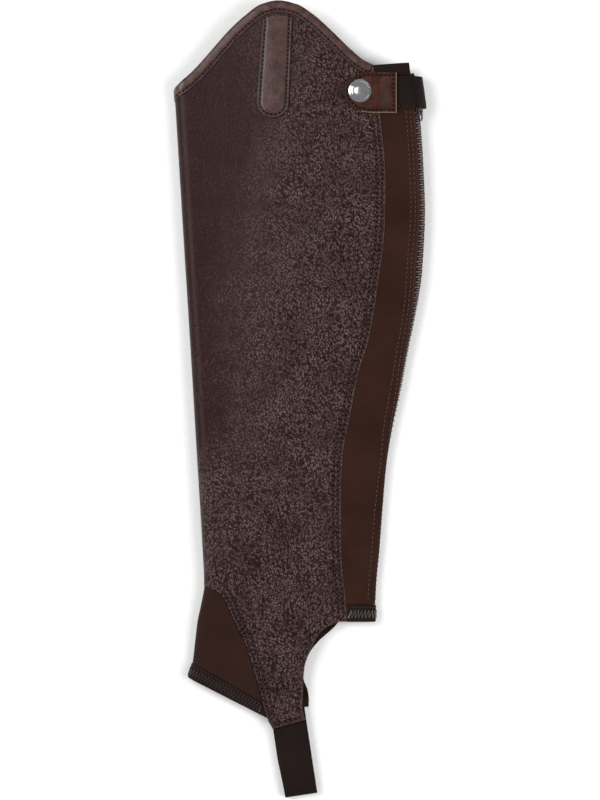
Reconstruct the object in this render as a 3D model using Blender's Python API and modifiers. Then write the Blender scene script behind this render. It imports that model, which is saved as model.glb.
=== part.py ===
"""A riding gaiter (half chap) for one leg: a leather and stretch-fabric tube, zipped, strapped, lying flat.

Frame: metres, +Z up. The gaiter lies on z = 0 on its inner side. Its top points to +Y, its front fold to -X
and its zip to +X, and the origin is at the middle of its footprint, on the surface that it lies on.

Every panel is cut flat as an outline in two measures, like a paper pattern: the girth, which is the way
round the flattened tube from its front fold, and the height above the fold of the stirrup elastic. Girth is
positive over the outer side, which faces up, and negative under the inner side. The panel is then laid on
the tube.
"""

import math
from collections import namedtuple
from functools import lru_cache

import bmesh
import bpy
from mathutils import Matrix, Vector
from mathutils.geometry import delaunay_2d_cdt

MM = 0.001

# The footprint, in mm. The tables below measure x from its left side and height from its lower end.
FOOTPRINT_WIDTH = 192.7
FOOTPRINT_LENGTH = 606.1

# Where the tube folds at the shin, and where its back edge is (mm).
FoldPoint = namedtuple("FoldPoint", "height x")
FRONT_FOLD = [
    FoldPoint(53.0, 8.0), FoldPoint(91.8, 11.2), FoldPoint(103.5, 14.2), FoldPoint(118.4, 16.0),
    FoldPoint(134.4, 17.9), FoldPoint(149.6, 21.1), FoldPoint(164.0, 23.3), FoldPoint(195.9, 21.8),
    FoldPoint(265.1, 17.6), FoldPoint(347.2, 12.7), FoldPoint(432.3, 7.3), FoldPoint(493.1, 3.6),
    FoldPoint(538.4, 0.8), FoldPoint(606.1, -3.0),
]
BACK_EDGE = [
    FoldPoint(0.0, 153.8), FoldPoint(134.4, 153.8), FoldPoint(158.7, 154.5), FoldPoint(189.0, 157.2),
    FoldPoint(219.5, 159.5), FoldPoint(249.9, 162.1), FoldPoint(280.3, 166.7), FoldPoint(310.7, 173.1),
    FoldPoint(341.1, 178.8), FoldPoint(371.5, 184.9), FoldPoint(401.9, 189.4), FoldPoint(447.5, 191.5),
    FoldPoint(478.0, 190.4), FoldPoint(519.7, 187.6), FoldPoint(559.2, 182.5), FoldPoint(606.1, 178.0),
]

# How round the tube lies (mm): radius of the front fold, radius of the back edge, rise of the upper wall.
Roundness = namedtuple("Roundness", "height fold edge crown")
ROUNDNESS = [
    Roundness(0.0, 5.4, 4.0, 0.0), Roundness(53.0, 5.6, 5.0, 0.3), Roundness(92.0, 5.8, 5.0, 1.0),
    Roundness(134.0, 6.8, 5.0, 2.0), Roundness(165.0, 7.8, 5.2, 3.0), Roundness(230.0, 8.5, 5.6, 4.0),
    Roundness(300.0, 8.5, 6.2, 5.0), Roundness(400.0, 8.5, 7.2, 6.0), Roundness(500.0, 8.5, 8.0, 5.5),
    Roundness(606.1, 8.5, 8.0, 4.5),
]

# Seams and edges on the outer side, as x and height (mm).
Point = namedtuple("Point", "x height")
TOP_LINE = [
    Point(0.8, 538.4), Point(2.8, 542.3), Point(7.6, 546.4), Point(13.0, 551.0), Point(19.6, 557.7),
    Point(29.5, 569.0), Point(43.2, 584.3), Point(54.5, 594.6), Point(66.7, 603.2), Point(79.6, 606.1),
    Point(94.1, 603.2), Point(106.5, 595.4), Point(119.2, 584.3), Point(135.1, 569.0), Point(144.2, 561.5),
    Point(152.4, 557.4),
]
LEATHER_SEAM = [
    Point(132.1, 135.3), Point(131.3, 151.1), Point(129.4, 166.3), Point(127.7, 196.7), Point(127.7, 234.7),
    Point(129.3, 262.8), Point(135.1, 294.0), Point(141.3, 325.1), Point(148.7, 348.7), Point(155.2, 388.2),
    Point(160.7, 433.0), Point(161.4, 470.3), Point(158.3, 510.6), Point(152.6, 558.0),
]
TONGUE_FRONT = [
    Point(23.3, 162.2), Point(34.2, 157.1), Point(40.0, 148.9), Point(45.8, 136.1), Point(55.1, 116.4),
    Point(62.1, 94.2), Point(67.9, 73.3), Point(71.6, 60.6), Point(75.5, 53.0),
]
TONGUE_BACK = [
    Point(100.2, 59.9), Point(98.2, 69.8), Point(98.8, 87.2), Point(99.9, 100.1), Point(103.4, 111.0),
    Point(107.1, 119.1), Point(111.4, 126.1), Point(117.0, 130.6), Point(125.5, 134.4),
]
INNER_TONGUE_BACK = [
    Point(102.9, 69.2), Point(103.1, 75.0), Point(102.3, 81.2), Point(99.0, 91.4), Point(98.9, 99.0),
    Point(103.4, 110.0), Point(110.4, 119.1), Point(115.6, 123.9), Point(121.4, 129.0), Point(126.0, 134.0),
]
GUSSET_HEM_TOP = [Point(14.3, 103.0), Point(66.7, 73.3)]
GUSSET_HEM_BOTTOM = [Point(11.2, 91.8), Point(71.3, 61.2)]
TOP_HEM_LINE = [Point(152.9, 557.3), Point(182.1, 559.4)]
INNER_TONGUE_LEFT_HEIGHT = 66.0
TOP_AT_FOLD = TOP_LINE[0].height
TOP_LINE_CUTS = 36
INNER_TOP_AT_ZIP = 552.0
BACK_HEM_BOTTOM = 134.3

# Where the zip runs: how far round its middle lies past the back edge, towards the inner side (mm).
ZipPoint = namedtuple("ZipPoint", "height past_edge")
ZIP_LINE = [
    ZipPoint(134.0, 8.0), ZipPoint(250.0, 7.0), ZipPoint(285.0, 3.0), ZipPoint(320.0, 0.0),
    ZipPoint(369.0, -2.5), ZipPoint(408.0, -5.0), ZipPoint(450.0, -4.2), ZipPoint(606.0, -4.2),
]
ZIP_BOTTOM = 136.5
ZIP_TOP = 552.0
INNER_ZIP_TOP = 540.5
CHAIN_HALF_WIDTH = 3.0
TAPE_WIDTH = 11.0

# Cloth: how far the outer face stands above the tube, and the wall's thickness (mm).
Cloth = namedtuple("Cloth", "lift thickness")
LEATHER = Cloth(0.0, 1.5)
STRETCH = Cloth(-0.4, 1.0)
BINDING = Cloth(0.8, 3.1)
HEM = Cloth(0.3, 1.9)
TAPE = Cloth(-1.9, 0.6)
CHAIN = Cloth(-0.2, 2.4)
PATCH = Cloth(1.6, 1.3)
STRAP = Cloth(1.7, 1.4)
TAB = Cloth(3.4, 1.4)

SEAM_GAP = 0.3
BINDING_WIDTH = 9.5
HEM_WIDTH = 8.0
BACK_HEM_WIDTH = 12.9
INNER_SEAM_SETBACK = 4.0

# Patch under the peak: its top middle, the centre of its round end, and half its width at each.
PATCH_TOP = Point(79.3, 596.0)
PATCH_END = Point(75.9, 529.0)
PATCH_TOP_HALF = 11.2
PATCH_END_HALF = 12.1

# Strap: its rise over the slider is full this far to each side of the zip, and gone past those distances.
STRAP_WIDTH = 24.0
STRAP_MIDDLE = 536.8
STRAP_START_X = 158.0
STRAP_END_PAST_EDGE = 5.6
STRAP_RISE = 4.0
STRAP_RISE_FLAT = 5.5
STRAP_RISE_OVER = 14.0
STRAP_RISE_UNDER = 10.5

# Tab on the strap's end, with a round end towards the shin.
TAB_END_X = 169.6
TAB_ROUND_X = 150.0
TAB_LENGTH = 39.8
TAB_HALF_WIDTH = 15.4
TAB_MIDDLE = 536.3

# Press snap, turned on the tube's normal: profiles from the axis over the outer side down to the axis.
TurnPoint = namedtuple("TurnPoint", "radius height")
SNAP_CENTRE = Point(141.3, 537.4)
SNAP_HOLE_RADIUS = 2.6
SNAP_HOLE_DEPTH = 12.0
SNAP_CAP = [
    TurnPoint(0.0, 6.5), TurnPoint(2.6, 6.4), TurnPoint(5.2, 5.95), TurnPoint(7.3, 5.1), TurnPoint(8.4, 4.5),
    TurnPoint(8.9, 4.2), TurnPoint(8.9, 3.9), TurnPoint(8.6, 3.7), TurnPoint(2.2, 3.7), TurnPoint(2.2, 2.1),
    TurnPoint(0.0, 2.1),
]
SNAP_STUD = [
    TurnPoint(0.0, 1.8), TurnPoint(4.0, 1.8), TurnPoint(4.8, 1.5), TurnPoint(5.4, 0.9), TurnPoint(5.4, 0.3),
    TurnPoint(0.0, 0.3),
]

# Stirrup elastic: a loop of flat elastic, folded at height 0, seen from its narrow side.
ELASTIC_WIDTH = 24.8
ELASTIC_THICKNESS = 1.5
ELASTIC_LEAN = math.radians(8.6)
ELASTIC_FOLD_MIDDLE = Point(96.8, 1.9)
ELASTIC_FOLD_RADIUS = 3.6
ELASTIC_UPPER_END = 74.0
ELASTIC_SAG = Point(14.0, 0.5)  # this far above its fold, the upper run has risen no more than this
ELASTIC_STEP = 9.0
ELASTIC_UNDER_TONGUE_GAP = 0.1
ELASTIC_ON_FLOOR = (0.0, 25.0, 52.0)
ELASTIC_ON_TONGUE = (60.0, 86.0)

# Zip slider and pull, in the slider's own frame (mm): u up the zip, v across it, w away from the gaiter.
# The wing and the core are outlines of (u, v), the crown is one of (u, w), and the pull is one of (u, v).
PULL_PIVOT_HEIGHT = 523.1
PULL_PIVOT_W = 2.0
CHAIN_TOP_ABOVE_PIVOT = 4.2
TAPES_PART_ABOVE_PIVOT = 9.0
WING = Cloth(1.1, 1.0)
WING_OUTLINE = [
    (-2.2, -3.4), (4.0, -4.5), (9.0, -4.6), (9.6, -3.9), (9.6, 3.9), (9.0, 4.6), (4.0, 4.5), (-2.2, 3.4),
    (-2.7, 2.6), (-2.7, -2.6),
]
CORE_OUTLINE = [(4.6, -1.0), (8.4, -1.6), (8.8, 0.0), (8.4, 1.6), (4.6, 1.0)]
CORE_DEPTH = 3.0
CORE_INTO_WING = 0.2
CROWN_FOOT = WING.lift - PULL_PIVOT_W - 0.3
CROWN_OUTLINE = [
    (-1.85, CROWN_FOOT), (-1.85, 1.0), (-1.3, 1.5), (5.6, 1.5), (7.6, -0.2), (7.6, CROWN_FOOT),
    (6.5, CROWN_FOOT), (6.3, -0.4), (5.2, 0.8), (-0.95, 0.8), (-0.95, CROWN_FOOT),
]
CROWN_WIDTH = 2.2
PULL_HALF_THICKNESS = 0.45
PULL_HALF_WIDTH = 2.9
PULL_OUTLINE = [
    (PULL_HALF_THICKNESS, -PULL_HALF_WIDTH), (PULL_HALF_THICKNESS, PULL_HALF_WIDTH), (-6.0, PULL_HALF_WIDTH),
    (-7.4, 2.2), (-8.0, 0.9), (-8.0, -0.9), (-7.4, -2.2), (-6.0, -PULL_HALF_WIDTH),
]
PullHole = namedtuple("PullHole", "name low high half_width")
PULL_HOLES = [PullHole("eye", -2.9, -PULL_HALF_THICKNESS, 1.5), PullHole("finger_hole", -6.8, -3.9, 1.5)]

# The grid that the pieces are triangulated on: even girths of the arcs and flats, and how often they are cut.
EVEN_SPANS = (0.0, 13.0, 163.0, 187.0, 337.0, 350.0)
EVEN_CUTS = (4, 10, 8, 10, 4)
ROW_STEP = 14.0
ZIP_ROW_STEP = 12.0
SQUASH = 0.25  # heights count this much in the triangulation, so that no triangle cuts across an arc
ARC_WALK = 3.2
KEEP_OFF_ON_ARC = 0.9
KEEP_OFF_ON_FLAT = 3.0


class SmoothCurve:
    """A curve through points, sorted by their first value, that never swings past them (monotone cubic)."""

    def __init__(self, points):
        self.keys = [point[0] for point in points]
        self.values = [point[1] for point in points]
        spans = [b - a for a, b in zip(self.keys, self.keys[1:])]
        slopes = [(b - a) / span for a, b, span in zip(self.values, self.values[1:], spans)]
        self.tangents = [slopes[0]]
        for before, after in zip(slopes, slopes[1:]):
            flat = before * after <= 0.0
            self.tangents.append(0.0 if flat else 2.0 * before * after / (before + after))
        self.tangents.append(slopes[-1])

    def __call__(self, key):
        key = min(max(key, self.keys[0]), self.keys[-1])
        i = 0
        while i < len(self.keys) - 2 and key > self.keys[i + 1]:
            i += 1
        span = self.keys[i + 1] - self.keys[i]
        t = (key - self.keys[i]) / span
        rise = t * t * (3.0 - 2.0 * t)
        value = self.values[i] * (1.0 - rise) + self.values[i + 1] * rise
        value += span * t * (1.0 - t) * ((1.0 - t) * self.tangents[i] - t * self.tangents[i + 1])
        return value


front_x = SmoothCurve(FRONT_FOLD)
back_x = SmoothCurve(BACK_EDGE)
fold_radius = SmoothCurve([(row.height, row.fold) for row in ROUNDNESS])
edge_radius = SmoothCurve([(row.height, row.edge) for row in ROUNDNESS])
crown_rise = SmoothCurve([(row.height, row.crown) for row in ROUNDNESS])
zip_past_edge = SmoothCurve(ZIP_LINE)


class Ring:
    """The closed section of the flattened tube at one height."""

    def __init__(self, height):
        self.fold = fold_radius(height)
        self.edge = edge_radius(height)
        self.crown = crown_rise(height)
        self.left = front_x(height) + self.fold
        self.right = back_x(height) - self.edge
        self.flat = self.right - self.left
        self.quarter = math.pi / 2 * self.fold
        self.back = self.quarter + self.flat + math.pi / 2 * self.edge
        self.under = self.quarter + self.flat + math.pi * self.edge
        self.total = self.under + self.flat + self.quarter

    def at(self, girth):
        """Point (x, z) on the tube and its outward normal (x, z) at a girth."""
        g = girth % self.total
        if g < self.quarter or g > self.total - self.quarter:
            angle = math.pi - (g if g < self.quarter else g - self.total) / self.fold
            return self.on_arc(self.left, self.fold, angle)
        if g < self.quarter + self.flat:
            return self.on_top(g - self.quarter)
        if g < self.under:
            angle = math.pi / 2 - (g - self.quarter - self.flat) / self.edge
            return self.on_arc(self.right, self.edge, angle)
        return self.right - (g - self.under), 0.0, 0.0, -1.0

    def on_arc(self, centre_x, radius, angle):
        nx, nz = math.cos(angle), math.sin(angle)
        return centre_x + radius * nx, radius * (1.0 + nz), nx, nz

    def on_top(self, distance):
        s = distance / self.flat
        step = 2.0 * (self.edge - self.fold)
        z = 2.0 * self.fold + step * s * s * (3.0 - 2.0 * s) + self.crown * math.sin(math.pi * s) ** 2
        slope = step * 6.0 * s * (1.0 - s) + self.crown * math.pi * math.sin(2.0 * math.pi * s)
        normal = Vector((-slope / self.flat, 1.0)).normalized()
        return self.left + distance, z, normal.x, normal.y

    def girth_at(self, x):
        """Girth of the outer side where it is at x, seen from above."""
        if x < self.left:
            return self.fold * math.acos(max(-1.0, min(1.0, (self.left - x) / self.fold)))
        if x > self.right:
            return self.quarter + self.flat + self.edge * math.asin(min(1.0, (x - self.right) / self.edge))
        return self.quarter + x - self.left

    def spans(self):
        """Girths where the section changes from arc to flat, from the front fold all the way round."""
        return (0.0, self.quarter, self.quarter + self.flat, self.under, self.under + self.flat, self.total)

    def even(self, girth):
        """The girth on a tube whose arcs and flats keep their lengths at every height."""
        turns, g = divmod(girth, self.total)
        spans = self.spans()
        i = max(k for k in range(5) if g >= spans[k])
        part = (g - spans[i]) / (spans[i + 1] - spans[i])
        return turns * EVEN_SPANS[5] + EVEN_SPANS[i] + part * (EVEN_SPANS[i + 1] - EVEN_SPANS[i])

    def uneven(self, even_girth):
        """The true girth of an even one."""
        turns, g = divmod(even_girth, EVEN_SPANS[5])
        spans = self.spans()
        i = max(k for k in range(5) if g >= EVEN_SPANS[k])
        part = (g - EVEN_SPANS[i]) / (EVEN_SPANS[i + 1] - EVEN_SPANS[i])
        return turns * self.total + spans[i] + part * (spans[i + 1] - spans[i])


@lru_cache(maxsize=None)
def ring(height):
    return Ring(height)


def over(x, height):
    """Pattern point (girth, height) on the outer side, at x seen from above."""
    return ring(height).girth_at(x), height


def under(x, height):
    """Pattern point on the inner side, straight below the same x."""
    return -ring(height).girth_at(x), height


def zip_over(height, away=0.0):
    """Pattern point on the zip's middle line, or a distance along the girth from it."""
    return ring(height).back + zip_past_edge(height) + away, height


def zip_under(height, away=0.0):
    """The same point with its girth counted under the inner side."""
    return zip_over(height, away)[0] - ring(height).total, height


def world(x, y, z):
    """A point of the tables, in metres from the origin."""
    return Vector((x - FOOTPRINT_WIDTH / 2, y - FOOTPRINT_LENGTH / 2, z)) * MM


def on_tube(girth, height, lift=0.0, depth=0.0):
    """Point on the tube, moved out by lift, but never below the surface that it lies on, and in by depth."""
    x, z, nx, nz = ring(height).at(girth)
    if lift > 0.0 and nz < 0.0:
        lift = min(lift, -z / nz)
    away = lift - depth
    return world(x + away * nx, height, z + away * nz)


def heights(low, high, step=ROW_STEP):
    """Heights from low to high, evenly spaced and at most a step apart."""
    count = max(1, math.ceil(abs(high - low) / step))
    return [low + (high - low) * i / count for i in range(count + 1)]


def curve_points(points, lay, count):
    """A smooth edge through table points that are sorted by height, as pattern points."""
    smooth = SmoothCurve([(p.height, p.x) for p in points])
    low, high = points[0].height, points[-1].height
    return [lay(smooth(low + (high - low) * i / count), low + (high - low) * i / count)
            for i in range(count + 1)]


def offset_inward(line, distance):
    """A pattern line moved to its right-hand side, which is downwards for a line that runs back to zip."""
    moved = []
    for i, (g, h) in enumerate(line):
        before, after = line[max(i - 1, 0)], line[min(i + 1, len(line) - 1)]
        along = Vector((after[0] - before[0], after[1] - before[1])).normalized()
        moved.append((g + along.y * distance, h - along.x * distance))
    return moved


def is_round(girth, height):
    """True on the front fold and on the back edge, where the wall turns over."""
    return abs(ring(height).at(girth)[3]) < 0.99


def walk(outline):
    """The outline with extra points, close together where the tube is round."""
    walked = []
    for (g0, h0), (g1, h1) in zip(outline, outline[1:] + outline[:1]):
        turns = is_round(g0, h0) or is_round(g1, h1) or is_round((g0 + g1) / 2, (h0 + h1) / 2)
        step = ARC_WALK if turns and abs(g1 - g0) > 0.3 * abs(h1 - h0) else ROW_STEP
        count = max(1, math.ceil(math.hypot(g1 - g0, h1 - h0) / step))
        walked += [(g0 + (g1 - g0) * i / count, h0 + (h1 - h0) * i / count) for i in range(count)]
    return walked


def signed_area(outline):
    return sum(a[0] * b[1] - b[0] * a[1] for a, b in zip(outline, outline[1:] + outline[:1])) / 2


def well_inside(point, outline, margin):
    """True when a pattern point lies inside an outline and at least a margin from it."""
    inside = False
    px, py = point
    for (ax, ay), (bx, by) in zip(outline, outline[1:] + outline[:1]):
        if (ay > py) != (by > py) and px < ax + (py - ay) / (by - ay) * (bx - ax):
            inside = not inside
        length = (bx - ax) ** 2 + (by - ay) ** 2
        t = max(0.0, min(1.0, ((px - ax) * (bx - ax) + (py - ay) * (by - ay)) / length)) if length else 0.0
        if math.hypot(px - ax - t * (bx - ax), py - ay - t * (by - ay)) < margin:
            return False
    return inside


def grid_girths():
    """Even girths of the grid's columns, round the tube both ways from the front fold."""
    columns = []
    for i, cuts in enumerate(EVEN_CUTS):
        width = EVEN_SPANS[i + 1] - EVEN_SPANS[i]
        columns += [EVEN_SPANS[i] + width * k / cuts for k in range(cuts)]
    return columns + [column - EVEN_SPANS[5] for column in columns]


def cut(outline):
    """Triangles of a cut piece: its outline, and inside it the points of the tube's grid."""
    if signed_area(outline) < 0.0:
        outline = outline[::-1]
    edge = [(ring(h).even(g), h) for g, h in walk(outline)]
    low, high = min(h for g, h in edge), max(h for g, h in edge)
    grid = [(g, h) for h in heights(low, high)[1:-1] for g in grid_girths()]
    inner = [p for p in grid if well_inside(p, edge, KEEP_OFF_ON_ARC if on_arc(p[0]) else KEEP_OFF_ON_FLAT)]
    flat = [Vector((g, h * SQUASH)) for g, h in edge + inner]
    points, _, faces, *_ = delaunay_2d_cdt(flat, [], [list(range(len(edge)))], 1, 1e-4)
    return [(ring(h / SQUASH).uneven(g), h / SQUASH) for g, h in points], faces


def on_arc(even_girth):
    g = even_girth % EVEN_SPANS[5]
    return g < EVEN_SPANS[1] or EVEN_SPANS[2] < g < EVEN_SPANS[3] or g > EVEN_SPANS[4]


def make_material(name, colour, roughness, metallic=0.0):
    material = bpy.data.materials.new(name)
    material.use_nodes = True
    shader = material.node_tree.nodes["Principled BSDF"]
    shader.inputs["Base Color"].default_value = (*colour, 1.0)
    shader.inputs["Roughness"].default_value = roughness
    shader.inputs["Metallic"].default_value = metallic
    return material


def add_object(name, mesh, finish, collection):
    """Put a mesh in the scene under a name, with its own material."""
    mesh.name = name
    mesh.materials.clear()
    mesh.materials.append(make_material(name, *finish))
    thing = bpy.data.objects.new(name, mesh)
    collection.objects.link(thing)
    return thing


def lay_piece(name, outline, cloth, finish, collection, lift=None):
    """Cut a piece and lay it on the tube as a wall, its inner face straight below its outer one."""
    points, faces = cut(outline)
    lifts = [cloth.lift + (lift(g, h) if lift else 0.0) for g, h in points]
    place = [on_tube(g, h, up) for (g, h), up in zip(points, lifts)]
    place += [on_tube(g, h, up, cloth.thickness) for (g, h), up in zip(points, lifts)]
    count = len(points)
    sides = {(a, b) for face in faces for a, b in zip(face, face[1:] + face[:1])}
    walls = [(a, a + count, b + count, b) for a, b in sorted(sides) if (b, a) not in sides]
    inner = [tuple(i + count for i in face[::-1]) for face in faces]
    mesh = bpy.data.meshes.new(name)
    mesh.from_pydata(place, [], faces + inner + walls)
    mesh.shade_smooth()
    mesh.set_sharp_from_angle(angle=math.radians(40))
    return add_object(name, mesh, finish, collection)


def top_line():
    """The cut top edge of the outer side, from the front fold to the stretch panel, as pattern points."""
    smooth = SmoothCurve([over(p.x, p.height) for p in TOP_LINE])
    start, end = smooth.keys[0], smooth.keys[-1]
    girths = [start + (end - start) * i / TOP_LINE_CUTS for i in range(TOP_LINE_CUTS + 1)]
    return [(girth, smooth(girth)) for girth in girths]


def seam(height, gap=0.0):
    """Pattern point on the seam of leather and stretch fabric, moved along the girth."""
    x = SmoothCurve([(p.height, p.x) for p in LEATHER_SEAM])(height)
    return over(x + gap, height)


def inner_seam(height, gap=0.0):
    """Pattern point on the hidden seam of the two leather panels, just under the front fold."""
    return -(ring(height).quarter + INNER_SEAM_SETBACK + gap), height


def make_outer_leather(finish, collection):
    below_binding = offset_inward(top_line(), BINDING_WIDTH + SEAM_GAP)
    below_binding = [p for p in below_binding if SEAM_GAP < p[0] and p[0] < seam(p[1])[0] - 1.0]
    outline = curve_points(TONGUE_BACK, over, 14)
    outline += [seam(h) for h in heights(LEATHER_SEAM[0].height, below_binding[-1][1] - 2.0)]
    outline += below_binding[::-1]
    fold_top = TOP_AT_FOLD - BINDING_WIDTH - SEAM_GAP
    outline += [(0.0, fold_top), inner_seam(fold_top)]
    front = gusset_side()
    wrapped = [(-g, h) for g, h in front if -g > inner_seam(h)[0]]
    outline += [inner_seam(h) for h in heights(fold_top, wrapped[-1][1])[1:]]
    outline += wrapped[:0:-1] + front
    return lay_piece("outer_leather", outline, LEATHER, finish, collection)


def make_inner_leather(finish, collection):
    zip_top = INNER_TOP_AT_ZIP - BINDING_WIDTH - SEAM_GAP
    fold_top = TOP_AT_FOLD - BINDING_WIDTH - SEAM_GAP
    outline = curve_points(INNER_TONGUE_BACK, under, 14)
    zip_rows = heights(BACK_HEM_BOTTOM, zip_top, ZIP_ROW_STEP)
    outline += [zip_under(h, CHAIN_HALF_WIDTH + SEAM_GAP) for h in zip_rows]
    outline += [inner_seam(fold_top, SEAM_GAP)]
    tongue = [(-g, h) for g, h in gusset_side() if h > INNER_TONGUE_LEFT_HEIGHT]
    tongue = [(g, h) for g, h in tongue if g < inner_seam(h, SEAM_GAP)[0]]
    outline += [inner_seam(h, SEAM_GAP) for h in heights(fold_top, tongue[0][1])[1:-1]]
    outline += tongue
    return lay_piece("inner_leather", outline, LEATHER, finish, collection)


def make_stretch_panel(finish, collection):
    top = TOP_HEM_LINE[0].height - HEM_WIDTH - SEAM_GAP
    low = BACK_HEM_BOTTOM + BACK_HEM_WIDTH + SEAM_GAP
    away = -CHAIN_HALF_WIDTH - SEAM_GAP
    outline = [zip_over(h, away) for h in heights(low, top)]
    outline += [seam(h, SEAM_GAP) for h in heights(top, low)]
    return lay_piece("stretch_panel", outline, STRETCH, finish, collection)


def make_bindings(finish, collection):
    edge = top_line()
    edge[0] = (SEAM_GAP / 2, edge[0][1])
    lower = [p for p in offset_inward(edge, BINDING_WIDTH) if p[0] > SEAM_GAP]
    lower = [p for p in lower if p[0] < seam(p[1])[0] - 0.5]
    fold_low = (SEAM_GAP / 2, edge[0][1] - BINDING_WIDTH)
    lay_piece("top_binding_outer", edge[::-1] + [fold_low] + lower, BINDING, finish, collection)

    back_top = zip_under(INNER_TOP_AT_ZIP, CHAIN_HALF_WIDTH + SEAM_GAP)
    back_low = zip_under(INNER_TOP_AT_ZIP - BINDING_WIDTH, CHAIN_HALF_WIDTH + SEAM_GAP)
    outline = [(-SEAM_GAP / 2, TOP_AT_FOLD - BINDING_WIDTH), (-SEAM_GAP / 2, TOP_AT_FOLD)]
    outline += [back_top, back_low]

    def flat_behind(girth, height):
        """Past the fold the binding lies flush, so that the strap's end fits over it."""
        return 0.0 if girth < -ring(height).quarter else BINDING.lift

    flush = Cloth(0.0, BINDING.thickness - BINDING.lift)
    lay_piece("top_binding_inner", outline, flush, finish, collection, flat_behind)


def make_top_patch(finish, collection):
    """The upright patch: two nearly parallel sides and a half-round lower end."""
    outline = []
    for i in range(13):
        angle = math.pi + math.pi * i / 12
        x = PATCH_END.x + PATCH_END_HALF * math.cos(angle)
        outline.append(over(x, PATCH_END.height + PATCH_END_HALF * math.sin(angle)))
    right = over(PATCH_TOP.x + PATCH_TOP_HALF, PATCH_TOP.height)[0]
    left = over(PATCH_TOP.x - PATCH_TOP_HALF, PATCH_TOP.height)[0]
    crest = SmoothCurve(offset_inward(top_line(), BINDING_WIDTH + 4 * SEAM_GAP))
    outline += [(right + (left - right) * i / 4, crest(right + (left - right) * i / 4)) for i in range(5)]
    return lay_piece("top_patch", outline, PATCH, finish, collection)


def make_hems(finish, collection):
    left, right = TOP_HEM_LINE
    away = -CHAIN_HALF_WIDTH - SEAM_GAP
    outline = [seam(left.height - HEM_WIDTH, SEAM_GAP), zip_over(left.height - HEM_WIDTH, away),
               zip_over(right.height, away), seam(left.height, SEAM_GAP)]
    lay_piece("top_hem", outline, HEM, finish, collection)

    low, high = BACK_HEM_BOTTOM, BACK_HEM_BOTTOM + BACK_HEM_WIDTH
    outline = [(seam(LEATHER_SEAM[0].height, SEAM_GAP)[0], low), zip_over(low, away), zip_over(high, away),
               seam(high, SEAM_GAP)]
    lay_piece("back_hem", outline, HEM, finish, collection)


def gusset_side(gap=0.0):
    """The outer tongue's front edge, from the front fold down to the tongue's end, moved into the gusset."""
    line = curve_points(TONGUE_FRONT[::-1], over, 22)[::-1]
    line[0] = (0.0, line[0][1])
    moved = offset_inward(line, gap)
    moved[0] = (0.0, line[0][1] - gap)
    return moved


def hem_line(points, drop=0.0):
    """A straight seam from the front fold across the gusset to the tongue, as pattern points."""
    fold, tongue = points
    side = SmoothCurve([(h, g) for g, h in gusset_side(SEAM_GAP)[::-1]])

    def at(t):
        height = fold.height + (tongue.height - fold.height) * t - drop
        return over(fold.x + (tongue.x - fold.x) * t, height)

    low, high = 0.5, 1.3
    for _ in range(30):
        middle = (low + high) / 2
        g, h = at(middle)
        low, high = (middle, high) if g < side(h) else (low, middle)
    return [(0.0, fold.height - drop)] + [at(low * (i / 12) ** 1.6) for i in range(1, 13)]


def mirrored(half):
    """A line that starts on the front fold, together with its mirror image under the inner side."""
    return [(-g, h) for g, h in half[:0:-1]] + half


def make_front_gusset(finishes, collection):
    """The stretch gusset over the instep and its hem, both cut on the fold, so their halves mirror."""
    bottom = hem_line(GUSSET_HEM_TOP, -SEAM_GAP)
    side = [(g, h) for g, h in gusset_side(SEAM_GAP) if h > bottom[-1][1] + 1.0]
    outline = mirrored(side) + mirrored(bottom)[::-1]
    lay_piece("front_gusset", outline, STRETCH, finishes["gusset"], collection)
    outline = mirrored(hem_line(GUSSET_HEM_TOP)) + mirrored(hem_line(GUSSET_HEM_BOTTOM))[::-1]
    lay_piece("gusset_hem", outline, HEM, finishes["hem"], collection)


def make_zip(finishes, collection):
    """Two tapes inside the panels' edges, and the closed chain between them."""
    near, far = CHAIN_HALF_WIDTH + SEAM_GAP, CHAIN_HALF_WIDTH + TAPE_WIDTH
    part_height = PULL_PIVOT_HEIGHT + TAPES_PART_ABOVE_PIVOT
    closed = heights(ZIP_BOTTOM, part_height, ZIP_ROW_STEP)
    for name, side, top in (("zip_tape_outer", -1.0, ZIP_TOP), ("zip_tape_inner", 1.0, INNER_ZIP_TOP)):
        parted = heights(part_height + 1.0, top, ZIP_ROW_STEP)
        outline = [zip_over(h, side * near) for h in closed]
        outline += [zip_over(h, side * SEAM_GAP) for h in parted]
        outline += [zip_over(h, side * far) for h in (closed + parted)[::-1]]
        lay_piece(name, outline, TAPE, finishes["tape"], collection)
    chain = heights(ZIP_BOTTOM, PULL_PIVOT_HEIGHT + CHAIN_TOP_ABOVE_PIVOT, ZIP_ROW_STEP)
    outline = [zip_over(h, CHAIN_HALF_WIDTH) for h in chain]
    outline += [zip_over(h, -CHAIN_HALF_WIDTH) for h in chain[::-1]]
    lay_piece("zip_chain", outline, CHAIN, finishes["coil"], collection)


def strap_lift(girth, height):
    """How far the strap rises over the slider, from the tab and down again behind the zip."""
    away = girth - zip_over(height)[0]
    reach = STRAP_RISE_OVER if away < 0.0 else STRAP_RISE_UNDER
    t = min(1.0, max(0.0, abs(away) - STRAP_RISE_FLAT) / (reach - STRAP_RISE_FLAT))
    return STRAP_RISE * (1.0 - t * t * (3.0 - 2.0 * t))


def make_strap(finish, collection):
    low, high = STRAP_MIDDLE - STRAP_WIDTH / 2, STRAP_MIDDLE + STRAP_WIDTH / 2
    outline = [over(STRAP_START_X, low), (ring(low).back + STRAP_END_PAST_EDGE, low),
               (ring(high).back + STRAP_END_PAST_EDGE, high), over(STRAP_START_X, high)]
    return lay_piece("strap_elastic", outline, STRAP, finish, collection, strap_lift)


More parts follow.
